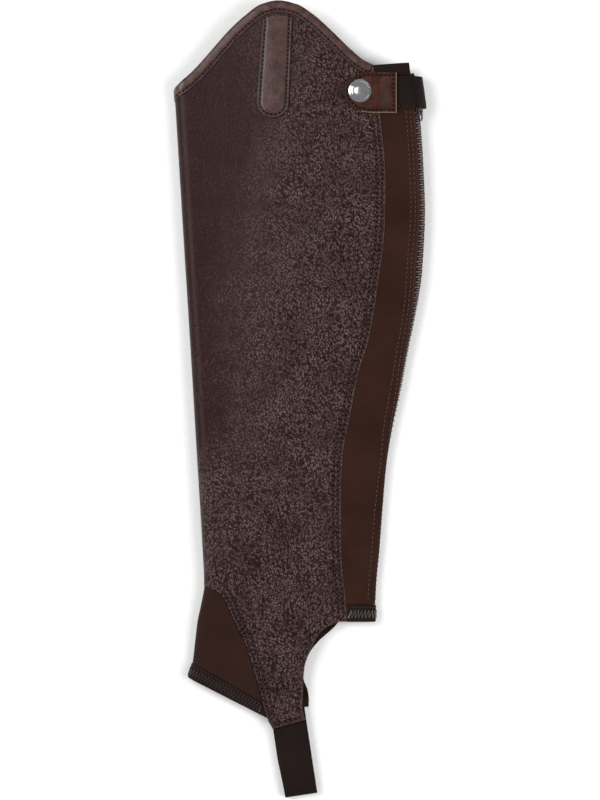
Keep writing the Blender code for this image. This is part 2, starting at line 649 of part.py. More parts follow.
def surface_frame(girth, height, lift):
    """Place and turn of something mounted on the tube: x across, y up the leg, z outwards."""
    place = on_tube(girth, height)
    up = on_tube(girth, height + 1.0) - on_tube(girth, height - 1.0)
    normal_x, normal_z = ring(height).at(girth)[2:]
    outwards = Vector((normal_x, 0.0, normal_z))
    across = up.cross(outwards).normalized()
    along = outwards.cross(across).normalized()
    turn = Matrix((across, along, outwards)).transposed().to_4x4()
    return Matrix.Translation(place + outwards * lift * MM) @ turn


def turned(name, profile, steps, finish, collection, frame):
    """A round piece: a profile of (radius, height) in mm, outer side from top to bottom, spun on its axis."""
    mesh = bpy.data.meshes.new(name)
    points = [(radius * MM, 0.0, height * MM) for radius, height in profile]
    mesh.from_pydata(points, [(i, i + 1) for i in range(len(points) - 1)], [])
    thing = add_object(name, mesh, finish, collection)
    spin = thing.modifiers.new("spin", "SCREW")
    spin.axis = "Z"
    spin.steps = steps
    spin.render_steps = steps
    spin.use_merge_vertices = True
    spin.merge_threshold = 0.00001
    spin.use_smooth_shade = True
    thing.matrix_world = frame
    return thing


def make_tab_and_snap(finishes, collection, cutters):
    """The leather tab on the strap's end, with its chrome cap and the stud that it closes on."""
    outline = []
    for i in range(13):
        angle = math.pi / 2 + math.pi * i / 12
        x = TAB_ROUND_X + (TAB_ROUND_X - TAB_END_X + TAB_LENGTH) * math.cos(angle)
        outline.append(over(x, TAB_MIDDLE + TAB_HALF_WIDTH * math.sin(angle)))
    outline += [over(TAB_END_X, TAB_MIDDLE + side * TAB_HALF_WIDTH) for side in (-1.0, 1.0)]
    tab = lay_piece("snap_tab", outline, TAB, finishes["tab"], collection)

    frame = surface_frame(*over(SNAP_CENTRE.x, SNAP_CENTRE.height), 0.0)
    bpy.ops.mesh.primitive_cylinder_add(vertices=24, radius=SNAP_HOLE_RADIUS * MM, depth=SNAP_HOLE_DEPTH * MM)
    hole = bpy.context.active_object
    hole.name = "snap_hole"
    hole.matrix_world = frame
    for owner in hole.users_collection:
        owner.objects.unlink(hole)
    cutters.objects.link(hole)
    hole.hide_render = True
    hole.display_type = "WIRE"
    punch = tab.modifiers.new("snap hole", "BOOLEAN")
    punch.object = hole
    punch.operation = "DIFFERENCE"

    turned("snap_cap", SNAP_CAP, 32, finishes["chrome"], collection, frame)
    turned("snap_stud", SNAP_STUD, 24, finishes["chrome"], collection, frame)


def side_profile(name, profile, width, finish, collection):
    """A flat outline of (along, up) points in mm, given a width across by a curve's extrusion, as a mesh."""
    curve = bpy.data.curves.new(name, "CURVE")
    curve.dimensions = "2D"
    curve.fill_mode = "BOTH"
    curve.extrude = width / 2 * MM
    spline = curve.splines.new("POLY")
    spline.points.add(len(profile) - 1)
    for point, (along, up) in zip(spline.points, profile):
        point.co = (along * MM, up * MM, 0.0, 1.0)
    spline.use_cyclic_u = True
    guide = bpy.data.objects.new(name, curve)
    collection.objects.link(guide)
    mesh = bpy.data.meshes.new_from_object(guide.evaluated_get(bpy.context.evaluated_depsgraph_get()))
    bpy.data.objects.remove(guide)
    bpy.data.curves.remove(curve)
    shape = bmesh.new()
    shape.from_mesh(mesh)
    bmesh.ops.remove_doubles(shape, verts=shape.verts, dist=0.000001)
    bmesh.ops.recalc_face_normals(shape, faces=shape.faces)
    shape.to_mesh(mesh)
    shape.free()
    return add_object(name, mesh, finish, collection)


def elastic_path():
    """Middle line of the stirrup elastic, from the outer tongue down to its fold and back, as (along, up)."""
    half = ELASTIC_THICKNESS / 2
    inside = LEATHER.thickness + SEAM_GAP + half

    def below_tongue(height):
        return on_tube(*over(ELASTIC_FOLD_MIDDLE.x, height)).z / MM - inside - ELASTIC_UNDER_TONGUE_GAP

    radius = ELASTIC_FOLD_RADIUS - half
    fold_top = 2 * radius + half
    tongue_end = TONGUE_FRONT[-1].height
    sag = SmoothCurve([(0.0, fold_top), (ELASTIC_SAG.x, fold_top + ELASTIC_SAG.height),
                       (tongue_end, below_tongue(tongue_end)),
                       (ELASTIC_UPPER_END, below_tongue(ELASTIC_UPPER_END))])
    path = [(along, sag(along)) for along in heights(ELASTIC_UPPER_END, 0.0, ELASTIC_STEP)]
    for i in range(1, 8):
        angle = math.pi / 2 + math.pi * i / 8
        path.append((radius * math.cos(angle), radius + half + radius * math.sin(angle)))
    path += [(along, half) for along in ELASTIC_ON_FLOOR]
    path += [(along, LEATHER.thickness + SEAM_GAP + half) for along in ELASTIC_ON_TONGUE]
    return path


def make_stirrup_elastic(finish, collection):
    path = elastic_path()
    left, right = [], []
    for i, (along, up) in enumerate(path):
        before, after = path[max(i - 1, 0)], path[min(i + 1, len(path) - 1)]
        direction = Vector((after[0] - before[0], after[1] - before[1])).normalized()
        side = Vector((-direction.y, direction.x)) * ELASTIC_THICKNESS / 2
        left.append((along + side.x, up + side.y))
        right.append((along - side.x, up - side.y))
    loop = side_profile("stirrup_elastic", left + right[::-1], ELASTIC_WIDTH, finish, collection)
    place = world(ELASTIC_FOLD_MIDDLE.x, ELASTIC_FOLD_MIDDLE.height + ELASTIC_FOLD_RADIUS, 0.0)
    along = Vector((-math.sin(ELASTIC_LEAN), math.cos(ELASTIC_LEAN), 0.0))
    up = Vector((0.0, 0.0, 1.0))
    loop.matrix_world = Matrix.Translation(place) @ Matrix((along, up, along.cross(up))).transposed().to_4x4()
    return loop


def slider_frame():
    """The slider's own frame at the pull's pivot: x across the zip, y up it, z away from the gaiter."""
    return surface_frame(*zip_over(PULL_PIVOT_HEIGHT), PULL_PIVOT_W)


def join(target, tools):
    """Union other objects into the target and drop them."""
    for tool in tools:
        union = target.modifiers.new("union", "BOOLEAN")
        union.operation = "UNION"
        union.object = tool
    evaluated = target.evaluated_get(bpy.context.evaluated_depsgraph_get())
    mesh = bpy.data.meshes.new_from_object(evaluated)
    target.modifiers.clear()
    target.data = mesh
    for tool in tools:
        bpy.data.objects.remove(tool)


def make_slider(finish, collection):
    """A flat wing that tapers down the zip, a core that parts the chain, and a crown that holds the pull."""
    quarter_turn = Matrix.Rotation(math.pi / 2, 4, "Z")
    wing_top = WING.lift - PULL_PIVOT_W
    wing = side_profile("zip_slider", WING_OUTLINE, WING.thickness, finish, collection)
    wing.data.transform(quarter_turn)
    wing.data.transform(Matrix.Translation((0.0, 0.0, (wing_top - WING.thickness / 2) * MM)))
    crown = side_profile("crown", CROWN_OUTLINE, CROWN_WIDTH, finish, collection)
    crown.data.transform(Matrix(((0, 0, 1, 0), (1, 0, 0, 0), (0, 1, 0, 0), (0, 0, 0, 1))))
    core = side_profile("core", CORE_OUTLINE, CORE_DEPTH, finish, collection)
    core.data.transform(quarter_turn)
    core_middle = wing_top - WING.thickness + CORE_INTO_WING - CORE_DEPTH / 2
    core.data.transform(Matrix.Translation((0.0, 0.0, core_middle * MM)))
    join(wing, [crown, core])
    wing.matrix_world = slider_frame()
    return wing


def make_pull(finish, collection, pivot):
    """A small flat pull: an eye round the crown, and a long hole below it. Its origin is on its hinge."""
    pull = side_profile("zip_pull", PULL_OUTLINE, 2 * PULL_HALF_THICKNESS, finish, collection)
    holes = []
    for name, low, high, half in PULL_HOLES:
        outline = [(low, -half), (high, -half), (high, half), (low, half)]
        holes.append(side_profile(name, outline, 4 * PULL_HALF_THICKNESS, finish, collection))
    for hole in holes:
        punch = pull.modifiers.new(hole.name, "BOOLEAN")
        punch.operation = "DIFFERENCE"
        punch.object = hole
    mesh = bpy.data.meshes.new_from_object(pull.evaluated_get(bpy.context.evaluated_depsgraph_get()))
    pull.modifiers.clear()
    pull.data = mesh
    for hole in holes:
        bpy.data.objects.remove(hole)
    pull.data.transform(Matrix.Rotation(math.pi / 2, 4, "Z"))
    pull.parent = pivot
    return pull


FINISHES = {
    "leather": ((0.050, 0.030, 0.030), 0.55),
    "binding": ((0.070, 0.036, 0.034), 0.45),
    "tab": ((0.120, 0.050, 0.038), 0.40),
    "stretch": ((0.036, 0.019, 0.012), 0.90),
    "gusset": ((0.034, 0.018, 0.014), 0.80),
    "hem": ((0.014, 0.011, 0.010), 0.90),
    "elastic": ((0.016, 0.012, 0.011), 0.90),
    "tape": ((0.030, 0.022, 0.018), 0.90),
    "coil": ((0.120, 0.105, 0.095), 0.50),
    "slider": ((0.030, 0.028, 0.027), 0.35, 0.8),
    "chrome": ((0.750, 0.760, 0.780), 0.12, 1.0),
}


def main():
    for thing in list(bpy.data.objects):
        bpy.data.objects.remove(thing)
    gaiter = bpy.data.collections.new("riding_gaiter")
    cutters = bpy.data.collections.new("cutters")
    bpy.context.scene.collection.children.link(gaiter)
    bpy.context.scene.collection.children.link(cutters)

    make_outer_leather(FINISHES["leather"], gaiter)
    make_inner_leather(FINISHES["leather"], gaiter)
    make_stretch_panel(FINISHES["stretch"], gaiter)
    make_bindings(FINISHES["binding"], gaiter)
    make_top_patch(FINISHES["leather"], gaiter)
    make_hems(FINISHES["hem"], gaiter)
    make_front_gusset(FINISHES, gaiter)
    make_zip(FINISHES, gaiter)
    make_strap(FINISHES["elastic"], gaiter)
    make_tab_and_snap(FINISHES, gaiter, cutters)
    make_stirrup_elastic(FINISHES["elastic"], gaiter)
    make_slider(FINISHES["slider"], gaiter)

    pivot = bpy.data.objects.new("zip_pull_hinge", None)
    pivot.matrix_world = slider_frame()
    gaiter.objects.link(pivot)
    make_pull(FINISHES["slider"], gaiter, pivot)


main()
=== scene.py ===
import logging
import math
from dataclasses import dataclass
from enum import Enum
from functools import partial
from typing import Any, Callable, NamedTuple, Optional, Union

import bmesh
import bpy
import numpy as np
from mathutils import Matrix, Vector
from mathutils.geometry import delaunay_2d_cdt
from mathutils.kdtree import KDTree


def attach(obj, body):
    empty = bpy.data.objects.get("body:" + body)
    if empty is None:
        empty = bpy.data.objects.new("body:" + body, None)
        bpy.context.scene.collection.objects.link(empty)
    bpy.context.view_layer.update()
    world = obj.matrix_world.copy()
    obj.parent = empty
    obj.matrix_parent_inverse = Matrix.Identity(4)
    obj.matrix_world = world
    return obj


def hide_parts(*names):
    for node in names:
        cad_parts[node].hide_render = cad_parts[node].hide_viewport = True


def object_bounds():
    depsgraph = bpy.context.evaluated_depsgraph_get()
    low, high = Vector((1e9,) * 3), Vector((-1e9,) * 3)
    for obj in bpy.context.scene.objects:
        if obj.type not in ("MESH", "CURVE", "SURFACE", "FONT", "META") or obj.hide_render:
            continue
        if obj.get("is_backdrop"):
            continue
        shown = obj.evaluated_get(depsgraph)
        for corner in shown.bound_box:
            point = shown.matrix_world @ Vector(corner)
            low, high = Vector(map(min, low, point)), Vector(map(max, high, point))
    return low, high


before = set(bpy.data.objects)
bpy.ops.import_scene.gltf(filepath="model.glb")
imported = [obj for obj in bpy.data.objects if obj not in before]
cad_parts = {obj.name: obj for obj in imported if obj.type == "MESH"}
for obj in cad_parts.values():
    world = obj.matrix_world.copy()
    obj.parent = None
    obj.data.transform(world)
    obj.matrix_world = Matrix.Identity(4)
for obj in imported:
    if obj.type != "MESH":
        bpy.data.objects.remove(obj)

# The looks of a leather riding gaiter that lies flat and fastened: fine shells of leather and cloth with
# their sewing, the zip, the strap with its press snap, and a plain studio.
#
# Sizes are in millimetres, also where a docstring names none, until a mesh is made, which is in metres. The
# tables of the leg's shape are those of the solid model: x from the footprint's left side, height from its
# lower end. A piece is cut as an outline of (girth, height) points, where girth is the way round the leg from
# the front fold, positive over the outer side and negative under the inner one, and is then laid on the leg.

LOG = logging.getLogger("gaiter")
MM = 0.001
BODY = "gaiter"
PULL_BODY = "zip_pull"

Array = np.ndarray
Line = list[tuple[float, float]]
Mesh = bpy.types.Mesh
Material = bpy.types.Material
Tree = bpy.types.NodeTree
Source = Union[bpy.types.NodeSocket, bpy.types.Node]  # what an input reads; a node gives its first output

FOOTPRINT_WIDTH = 192.7
FOOTPRINT_LENGTH = 606.1
SEAM_GAP = 0.3
UNSEWN = 99.0  # distance to the nearest stitches where a piece has none (mm)
EVEN_TRIANGLE = 0.866  # height of an even triangle against its side
MERGED = 0.000002  # points closer than this become one (m)


class Point(NamedTuple):
    """A place seen from above (mm)."""

    x: float
    height: float


class Roundness(NamedTuple):
    """How round the leg lies at a height: radii of its fold and its back edge, and the upper wall's rise."""

    height: float
    fold: float
    edge: float
    crown: float


FRONT_FOLD = [
    (53.0, 8.0), (91.8, 11.2), (103.5, 14.2), (118.4, 16.0), (134.4, 17.9), (149.6, 21.1), (164.0, 23.3),
    (195.9, 21.8), (265.1, 17.6), (347.2, 12.7), (432.3, 7.3), (493.1, 3.6), (538.4, 0.8), (606.1, -3.0),
]
BACK_EDGE = [
    (0.0, 153.8), (134.4, 153.8), (158.7, 154.5), (189.0, 157.2), (219.5, 159.5), (249.9, 162.1),
    (280.3, 166.7), (310.7, 173.1), (341.1, 178.8), (371.5, 184.9), (401.9, 189.4), (447.5, 191.5),
    (478.0, 190.4), (519.7, 187.6), (559.2, 182.5), (606.1, 178.0),
]
ROUNDNESS = [Roundness(*row) for row in (
    (0.0, 5.4, 4.0, 0.0), (53.0, 5.6, 5.0, 0.3), (92.0, 5.8, 5.0, 1.0), (134.0, 6.8, 5.0, 2.0),
    (165.0, 7.8, 5.2, 3.0), (230.0, 8.5, 5.6, 4.0), (300.0, 8.5, 6.2, 5.0), (400.0, 8.5, 7.2, 6.0),
    (500.0, 8.5, 8.0, 5.5), (606.1, 8.5, 8.0, 4.5),
)]
TOP_LINE = [Point(*row) for row in (
    (0.8, 538.4), (2.8, 542.3), (7.6, 546.4), (13.0, 551.0), (19.6, 557.7), (29.5, 569.0), (43.2, 584.3),
    (54.5, 594.6), (66.7, 603.2), (79.6, 606.1), (94.1, 603.2), (106.5, 595.4), (119.2, 584.3),
    (135.1, 569.0), (144.2, 561.5), (152.4, 557.4),
)]
LEATHER_SEAM = [Point(*row) for row in (
    (132.1, 135.3), (131.3, 151.1), (129.4, 166.3), (127.7, 196.7), (127.7, 234.7), (129.3, 262.8),
    (135.1, 294.0), (141.3, 325.1), (148.7, 348.7), (155.2, 388.2), (160.7, 433.0),
    (161.4, 470.3), (158.3, 510.6), (152.6, 558.0),
)]
TONGUE_FRONT = [Point(*row) for row in (
    (23.3, 162.2), (34.2, 157.1), (40.0, 148.9), (45.8, 136.1), (55.1, 116.4),
    (62.1, 94.2), (67.9, 73.3), (71.6, 60.6), (75.5, 53.0),
)]
TONGUE_BACK = [Point(*row) for row in (
    (100.2, 59.9), (98.2, 69.8), (98.8, 87.2), (99.9, 100.1), (103.4, 111.0),
    (107.1, 119.1), (111.4, 126.1), (117.0, 130.6), (125.5, 134.4),
)]
INNER_TONGUE_BACK = [Point(*row) for row in (
    (102.9, 69.2), (103.1, 75.0), (102.3, 81.2), (99.0, 91.4), (98.9, 99.0), (103.4, 110.0), (110.4, 119.1),
    (115.6, 123.9), (121.4, 129.0), (126.0, 134.0),
)]
TOP_AT_FOLD = TOP_LINE[0].height
INNER_TOP_AT_ZIP = 552.0
BACK_HEM_BOTTOM = 134.3
BACK_HEM_WIDTH = 12.9
TOP_HEM_AT_SEAM = 557.3
TOP_HEM_AT_ZIP = 559.4
TOP_HEM_WIDTH = 8.0
BINDING_WIDTH = 9.5
ZIP_LINE = [
    (134.0, 8.0), (250.0, 7.0), (285.0, 3.0), (320.0, 0.0), (369.0, -2.5), (408.0, -5.0), (450.0, -4.2),
    (606.0, -4.2),
]
ZIP_BOTTOM = 136.5
CHAIN_HALF_WIDTH = 3.0
# Edges that bend by more than this are shaded as corners: on shells, on the zip's metal and on the snap.
SHELL_CORNER, ZIP_CORNER, SNAP_CORNER = (math.radians(angle) for angle in (60.0, 35.0, 40.0))


class SmoothCurve:
    """A curve through points, sorted by their first value, that never swings past them (monotone cubic)."""

    def __init__(self, points: list[tuple[float, float]]) -> None:
        """Fit the curve.

        Args:
            points: rows of (key, value), sorted by key.
        """
        self.keys = np.array([point[0] for point in points], float)
        self.values = np.array([point[1] for point in points], float)
        slopes = np.diff(self.values) / np.diff(self.keys)
        before, after = slopes[:-1], slopes[1:]
        level = before * after <= 0.0
        inner = np.where(level, 0.0, 2.0 * before * after / np.where(level, 1.0, before + after))
        self.tangents = np.concatenate(([slopes[0]], inner, [slopes[-1]]))

    def __call__(self, key: Any) -> Any:
        """Value at one key or at an array of them.

        Args:
            key: the key or keys; past its ends the curve stays level.

        Returns:
            The value or values.
        """
        key = np.clip(key, self.keys[0], self.keys[-1])
        i = np.clip(np.searchsorted(self.keys, key) - 1, 0, len(self.keys) - 2)
        span = self.keys[i + 1] - self.keys[i]
        t = (key - self.keys[i]) / span
        rise = t * t * (3.0 - 2.0 * t)
        value = self.values[i] * (1.0 - rise) + self.values[i + 1] * rise
        return value + span * t * (1.0 - t) * ((1.0 - t) * self.tangents[i] - t * self.tangents[i + 1])


class Crease(NamedTuple):
    """A soft trough (negative depth) or ridge in the leg's wall, by its middle as seen from above (mm)."""

    x: float
    height: float
    length: float
    width: float
    depth: float
    lean: float  # degrees from upright, clockwise
    bend: float = 0.0  # how far its ends are pulled to the side


OUTER_CREASES = [Crease(*row) for row in (
    (82.0, 152.0, 46.0, 2.6, -0.55, 4.0, 2.0), (90.0, 128.0, 34.0, 2.2, -0.40, -8.0, -2.0),
    (74.0, 120.0, 30.0, 2.0, -0.30, 14.0, 1.5), (66.0, 176.0, 40.0, 3.0, -0.35, 24.0, 3.0),
    (108.0, 150.0, 36.0, 2.8, -0.40, -16.0, 2.0), (98.0, 196.0, 60.0, 3.6, -0.38, 7.0, -3.0),
    (52.0, 214.0, 52.0, 4.0, -0.35, -12.0, 3.0), (118.0, 226.0, 44.0, 3.4, -0.30, 10.0, 2.0),
    (76.0, 258.0, 70.0, 5.0, -0.42, -5.0, 4.0), (40.0, 282.0, 56.0, 4.4, -0.30, 11.0, -2.0),
    (106.0, 296.0, 66.0, 5.0, -0.36, 12.0, 3.0), (64.0, 338.0, 60.0, 4.2, -0.28, -9.0, 2.0),
    (122.0, 372.0, 58.0, 4.6, -0.34, 9.0, -3.0), (88.0, 404.0, 76.0, 5.6, -0.36, 4.0, 4.0),
    (36.0, 430.0, 64.0, 5.0, -0.26, -6.0, 2.0), (132.0, 452.0, 50.0, 4.0, -0.28, -8.0, 2.0),
    (60.0, 500.0, 46.0, 4.0, -0.24, 12.0, -2.0), (112.0, 512.0, 52.0, 4.4, -0.26, 6.0, 2.0),
    (140.0, 210.0, 60.0, 4.0, -0.30, 3.0, 1.0), (146.0, 262.0, 48.0, 4.0, -0.26, -6.0, 1.0),
    (62.0, 235.0, 210.0, 17.0, 0.75, 3.0, 5.0), (96.0, 345.0, 190.0, 19.0, -0.80, 7.0, 5.0),
    (48.0, 380.0, 200.0, 16.0, 0.60, -2.0, -4.0), (124.0, 430.0, 170.0, 16.0, 0.65, 5.0, 3.0),
    (28.0, 240.0, 90.0, 6.0, -0.35, -4.0, 1.0), (94.0, 98.0, 40.0, 5.0, -0.35, 3.0, 1.0),
)]
INNER_CREASES = [Crease(*row) for row in (
    (80.0, 158.0, 44.0, 3.0, -0.45, -7.0, 2.0), (104.0, 172.0, 38.0, 2.8, -0.35, 14.0, -2.0),
    (58.0, 204.0, 56.0, 3.8, -0.40, 9.0, 3.0), (118.0, 248.0, 62.0, 4.4, -0.38, -8.0, 2.0),
    (84.0, 286.0, 74.0, 5.0, -0.45, 5.0, -4.0), (44.0, 330.0, 60.0, 4.6, -0.34, -11.0, 2.0),
    (128.0, 352.0, 56.0, 4.2, -0.36, 8.0, 3.0), (92.0, 392.0, 70.0, 5.2, -0.40, -4.0, 3.0),
    (54.0, 446.0, 58.0, 4.6, -0.30, 10.0, -2.0), (136.0, 462.0, 50.0, 4.2, -0.30, -9.0, 2.0),
    (96.0, 500.0, 48.0, 4.0, -0.28, 6.0, 2.0), (88.0, 112.0, 34.0, 2.6, -0.30, 4.0, 1.0),
)]


class Section:
    """The closed cross-sections of the flattened leg at an array of heights."""

    front_x = SmoothCurve(FRONT_FOLD)
    back_x = SmoothCurve(BACK_EDGE)
    fold_radius = SmoothCurve([(row.height, row.fold) for row in ROUNDNESS])
    edge_radius = SmoothCurve([(row.height, row.edge) for row in ROUNDNESS])
    crown_rise = SmoothCurve([(row.height, row.crown) for row in ROUNDNESS])

    def __init__(self, height: Any) -> None:
        """Work out the sections.

        Args:
            height: one height or an array of them.
        """
        self.fold = self.fold_radius(height)
        self.edge = self.edge_radius(height)
        self.crown = self.crown_rise(height)
        self.left = self.front_x(height) + self.fold
        self.right = self.back_x(height) - self.edge
        self.flat = self.right - self.left
        self.quarter = math.pi / 2 * self.fold
        self.back = self.quarter + self.flat + math.pi / 2 * self.edge
        self.under = self.quarter + self.flat + math.pi * self.edge
        self.total = self.under + self.flat + self.quarter

    def at(self, girth: Any) -> tuple[Array, Array, Array, Array]:
        """Places (x, z) and outward normals (x, z) at girths, one for each section.

        Args:
            girth: the way round, one for each section.

        Returns:
            Four arrays: x, z, and the normals' x and z.
        """
        g = np.mod(girth, self.total)
        front = (g < self.quarter) | (g > self.total - self.quarter)
        top = ~front & (g < self.quarter + self.flat)
        back = ~front & ~top & (g < self.under)
        angle = np.where(front, math.pi - np.where(g < self.quarter, g, g - self.total) / self.fold,
            math.pi / 2 - (g - self.quarter - self.flat) / self.edge)
        radius = np.where(front, self.fold, self.edge)
        nx, nz = np.cos(angle), np.sin(angle)
        s = np.clip((g - self.quarter) / self.flat, 0.0, 1.0)
        step = 2.0 * (self.edge - self.fold)
        top_z = 2.0 * self.fold + step * s * s * (3.0 - 2.0 * s) + self.crown * np.sin(math.pi * s) ** 2
        slope = step * 6.0 * s * (1.0 - s) + self.crown * math.pi * np.sin(2.0 * math.pi * s)
        slope = slope / self.flat
        steep = np.sqrt(1.0 + slope * slope)
        chosen = [front | back, top]
        x = np.select(chosen, [np.where(front, self.left, self.right) + radius * nx,
            self.left + g - self.quarter], self.right - (g - self.under))
        z = np.select(chosen, [radius * (1.0 + nz), top_z], 0.0)
        return x, z, np.select(chosen, [nx, -slope / steep], 0.0), np.select(chosen, [nz, 1.0 / steep], -1.0)

    def girth_at(self, x: Any) -> Any:
        """Girth of the outer side where it is at x, seen from above.

        Args:
            x: one place for each section.

        Returns:
            The girths.
        """
        turn = np.arccos(np.clip((self.left - x) / self.fold, -1.0, 1.0))
        bow = np.arcsin(np.clip((x - self.right) / self.edge, -1.0, 1.0))
        past = self.quarter + self.flat + self.edge * bow
        return np.where(x < self.left, self.fold * turn,
            np.where(x > self.right, past, self.quarter + x - self.left))


def fold_rise(section: Section, girth: Array, height: Array) -> Array:
    """How far the creases raise (or sink) the leg's wall at pattern points.

    Args:
        section: the sections at the points.
        girth: the way round of each.
        height: its height.

    Returns:
        The rise at each.
    """
    around = np.mod(girth + section.total / 2, section.total) - section.total / 2
    x = section.left + np.abs(around) - section.quarter
    rise = np.zeros(np.shape(x))
    for creases, side in ((OUTER_CREASES, around > 0.0), (INNER_CREASES, around <= 0.0)):
        for crease in creases:
            lean = math.radians(crease.lean)
            dx, dh = x - crease.x, height - crease.height
            along = dx * math.sin(lean) + dh * math.cos(lean)
            reach = along / (crease.length / 2)
            across = dx * math.cos(lean) - dh * math.sin(lean) - crease.bend * reach * reach
            fade = np.clip(1.0 - reach * reach, 0.0, None) ** 2
            rise += np.where(side, crease.depth * fade * np.exp(-((across / crease.width) ** 2)), 0.0)
    return rise


def lay(girth: Any, height: Any, lift: Any = 0.0, depth: Any = 0.0, creased: bool = True) -> Array:
    """Places on the leg, in metres.

    Args:
        girth: the way round, one value or an array.
        height: the height, likewise.
        lift: how far out of the leg's wall; where the leg rests, never below what it lies on.
        depth: how far in from there.
        creased: False for hard pieces, which don't follow the creases.

    Returns:
        An array with a row of three coordinates for each point.
    """
    girth, height = np.atleast_1d(girth).astype(float), np.atleast_1d(height).astype(float)
    section = Section(height)
    x, z, nx, nz = section.at(girth)
    lift = lift + (fold_rise(section, girth, height) if creased else 0.0)
    floor_limit = np.where(nz < 0.0, -z / np.where(nz < 0.0, nz, -1.0), np.inf)
    away = np.where(lift > 0.0, np.minimum(lift, floor_limit), lift) - depth
    place = (x + away * nx - FOOTPRINT_WIDTH / 2, height - FOOTPRINT_LENGTH / 2, z + away * nz)
    return np.column_stack(place) * MM


def normals(girth: Any, height: Any) -> Array:
    """Outward normals of the leg at pattern points."""
    _, _, nx, nz = Section(np.atleast_1d(height).astype(float)).at(np.atleast_1d(girth).astype(float))
    return np.column_stack((nx, np.zeros(len(nx)), nz))


def surface_frame(girth: float, height: float, lift: float) -> Matrix:
    """Place and turn of something mounted on the leg: x across, y up the leg, z outwards.

    Args:
        girth: the way round.
        height: the height.
        lift: how far out of the wall it stands.

    Returns:
        The matrix that moves a thing there from the origin.
    """
    place, low, high = (Vector(lay(girth, height + step, creased=False)[0]) for step in (0.0, -1.0, 1.0))
    outwards = Vector(normals(girth, height)[0])
    across = (high - low).cross(outwards).normalized()
    along = outwards.cross(across).normalized()
    turn = Matrix((across, along, outwards)).transposed().to_4x4()
    return Matrix.Translation(place + outwards * lift * MM) @ turn


def over(x: float, height: float) -> tuple[float, float]:
    """Pattern point on the outer side, at x seen from above."""
    return float(Section(height).girth_at(x)), height


def under(x: float, height: float) -> tuple[float, float]:
    """Pattern point on the inner side, straight below the same x."""
    return -over(x, height)[0], height


zip_past_edge = SmoothCurve(ZIP_LINE)


def zip_over(height: float, away: float = 0.0) -> tuple[float, float]:
    """Pattern point on the zip's middle line, or a distance along the girth from it."""
    return float(Section(height).back + zip_past_edge(height)) + away, height


def zip_under(height: float, away: float = 0.0) -> tuple[float, float]:
    """The same point with its girth counted under the inner side."""
    return zip_over(height, away)[0] - float(Section(height).total), height


def heights(low: float, high: float, step: float = 4.0) -> list[float]:
    """Heights from low to high, evenly spaced and at most a step apart."""
    count = max(1, math.ceil(abs(high - low) / step))
    return [low + (high - low) * i / count for i in range(count + 1)]


def edge_line(points: list[Point], place: Callable[[float, float], tuple[float, float]],
              step: float = 2.0) -> Line:
    """A smooth edge through points that are sorted by height, as pattern points."""
    smooth = SmoothCurve([(point.height, point.x) for point in points])
    return [place(float(smooth(h)), h) for h in heights(points[0].height, points[-1].height, step)]


def unit(vectors: Array) -> Array:
    """Vectors brought to length 1; one of no length stays as it is."""
    return vectors / np.maximum(np.linalg.norm(vectors, axis=1, keepdims=True), 1e-9)


def moved_right(line: Line, distance: float) -> Line:
    """A pattern line moved to its right-hand side, which is downwards for a line that runs back to the zip.

    Args:
        line: the line.
        distance: how far; negative to its left.

    Returns:
        The moved line.
    """
    points = np.array(line, float)
    along = unit(np.gradient(points, axis=0))
    return [tuple(p) for p in points + np.column_stack((along[:, 1], -along[:, 0])) * distance]


def top_line() -> Line:
    """The outer side's cut top edge, from the front fold to the stretch panel."""
    smooth = SmoothCurve([over(point.x, point.height) for point in TOP_LINE])
    return [(float(g), float(smooth(g))) for g in np.linspace(smooth.keys[0], smooth.keys[-1], 110)]


seam_x = SmoothCurve([(point.height, point.x) for point in LEATHER_SEAM])


def seam(height: float, gap: float = 0.0) -> tuple[float, float]:
    """Pattern point on the seam of leather and stretch fabric, or beside it."""
    return over(float(seam_x(height)) + gap, height)


def inner_seam(height: float, gap: float = 0.0) -> tuple[float, float]:
    """Pattern point on the seam of the two leather panels, just under the front fold."""
    return -(float(Section(height).quarter) + 4.0 + gap), height


def gusset_side(gap: float = 0.0) -> Line:
    """The outer tongue's front edge from the front fold down to the tongue's end, moved into the gusset.

    Args:
        gap: how far into the gusset.

    Returns:
        The line, from the fold downwards.
    """
    line = edge_line(TONGUE_FRONT[::-1], over)[::-1]
    line[0] = (0.0, line[0][1])
    moved = moved_right(line, gap)
    moved[0] = (0.0, line[0][1] - gap)
    return moved


def mirrored(half: Line) -> Line:
    """A line that starts on the front fold, together with its mirror image under the inner side."""
    return [(-g, h) for g, h in half[:0:-1]] + half


def srgb(colour: str) -> tuple[float, float, float, float]:
    """Linear colour of an sRGB hex value such as #3b2a2a.

    Args:
        colour: the hex value.

    Returns:
        Red, green and blue from 0 to 1, and a full alpha.
    """
    parts = [int(colour[i:i + 2], 16) / 255.0 for i in (1, 3, 5)]
    linear = [part / 12.92 if part <= 0.04045 else ((part + 0.055) / 1.055) ** 2.4 for part in parts]
    return linear[0], linear[1], linear[2], 1.0


def each(size: float) -> float:
    """Scale of a texture whose cells are to be of a size in mm."""
    return 1.0 / (size * MM)


def feed(tree: Tree, socket: bpy.types.NodeSocket, value: Any) -> None:
    """Give a node's input what it reads.

    Args:
        tree: the tree that it is in.
        socket: the input.
        value: a constant, another node's output, or a node, which stands for its first output.
    """
    if isinstance(value, bpy.types.Node):
        value = value.outputs[0]
    if isinstance(value, bpy.types.NodeSocket):
        tree.links.new(value, socket)
    else:
        socket.default_value = value


